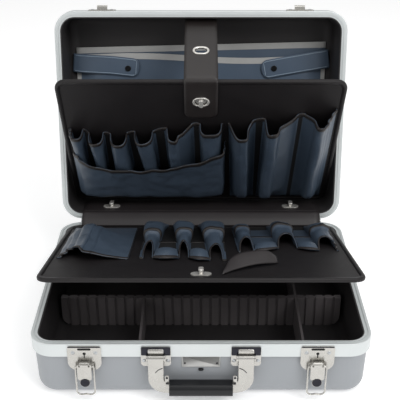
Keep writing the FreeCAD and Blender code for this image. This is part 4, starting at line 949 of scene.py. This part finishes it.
latchTrim = {
    "x": 155, "shadowLineZ": 86.6, "dishZ": 35.2,
    # the lip is a thin strip in nickel painted dark: a painted shadow line along the plate's top
    "lip": [(43, 1.7, 0.5, 1.5), (43, 1.7, 0.5, 1.9), (42.4, 1.1, 0.3, 2.1)],
    "dish": [(13, 13, 6.45, 11), (12.6, 12.6, 6.25, 11.6), (11.6, 11.6, 5.75, 11.6), (8, 8, 3.95, 11.15),
             (3, 3, 1.45, 11.02)],
    "holes": [("slot_shade", slotZ, 17.4, 2.9), ("key_shade", 76, 4, 4), ("key_slit_shade", 72.4, 1.2, 6)],
    "holeCorner": 0.48, "holeDepths": (0.2, 0.5),
}
lugTrim = {
    "x": 45.4, "z": 39.5, "rings": [(5.4, 15.6, 2, 10), (5.4, 15.6, 2, 11.4), (4.6, 14.8, 1.6, 11.8)],
    "screwZ": (35, 44), "screwOut": 11.7, "screwSize": 3.4,
}
armCreaseShade = {"line": [(61, 50.6, 10.1), (56.5, 55.8, 10.1), (50.6, 58.8, 10.1)], "count": 14, "radius": 0.55}

plate = makeRings("name_plate", front, 0, namePlate["z"], namePlate["rings"], plateAluminium)
wear(plate, "base", "frame_aluminium")
for sign in (-1, 1):
    screw("name_plate.screw_%d" % (sign + 2), front, namePlate["screwX"] * sign, namePlate["screwZ"],
          namePlate["screwOut"], namePlate["screwSize"], "base")
stud = makeRings("front_bumper", front, 0, bumper["z"], bumper["rings"], mouldedGrip)
wear(stud, "base", "grip_plastic")


def makeSideTrim(side, sign):
    bracketX, latchX, lugX = bracketTrim["x"] * sign, latchTrim["x"] * sign, lugTrim["x"] * sign
    bracketZ = bracketTrim["z"]
    # the bracket's cover plate is in nickel painted dark: a painted reflection
    cover = makeRings(side + "_bracket_cover", face, bracketX, bracketZ, bracketTrim["cover"], darkNickel)
    wear(cover, "base", "latch_nickel")
    roll = makeRings(side + "_bracket_roll", face, bracketX, bracketZ, bracketTrim["roll"], satinNickel)
    wear(roll, "base", "latch_nickel")
    # a thin dark strip along the top of each latch plate: a painted shadow line
    lip = makeRings(side + "_latch_shadow_line", face, latchX, latchTrim["shadowLineZ"], latchTrim["lip"], darkNickel)
    wear(lip, "base", "latch_nickel")
    # dark insets inside the latch's slot and keyhole: painted shade where the holes lie in shadow
    for hole, z, wide, high in latchTrim["holes"]:
        corner = min(wide, high) * latchTrim["holeCorner"]
        rings = [(wide, high, corner, depth) for depth in latchTrim["holeDepths"]]
        inset = makeRings("%s_latch_%s" % (side, hole), face, latchX, z, rings, darkSteel)
        wear(inset, "base", "hinge_steel")
    # the lever's thumb dish is in nickel painted dark: a painted reflection that stands for its dark hollow
    dish = makeRings(side + "_lever_dish", face, latchX, latchTrim["dishZ"], latchTrim["dish"], darkNickel)
    wear(dish, side + "_latch_lever", "latch_nickel")
    lug = makeRings(side + "_grip_lug", face, lugX, lugTrim["z"], lugTrim["rings"], satinNickel)
    wear(lug, "handle", "latch_nickel")
    for k, z in enumerate(lugTrim["screwZ"]):
        screw("%s_grip_lug.screw_%d" % (side, k + 1), face, lugX, z,
              lugTrim["screwOut"], lugTrim["screwSize"], "handle")
    # a thin bead in nickel painted dark along each arm's crease: painted shade in the crease
    crease = smooth([spot(face, x * sign, z, n) for x, z, n in armCreaseShade["line"]], armCreaseShade["count"])
    wear(makeBead(side + "_arm_crease_shade", crease, armCreaseShade["radius"], darkNickel), "handle", "latch_nickel")


makeSideTrim("left", -1)
makeSideTrim("right", 1)
print("trim set")
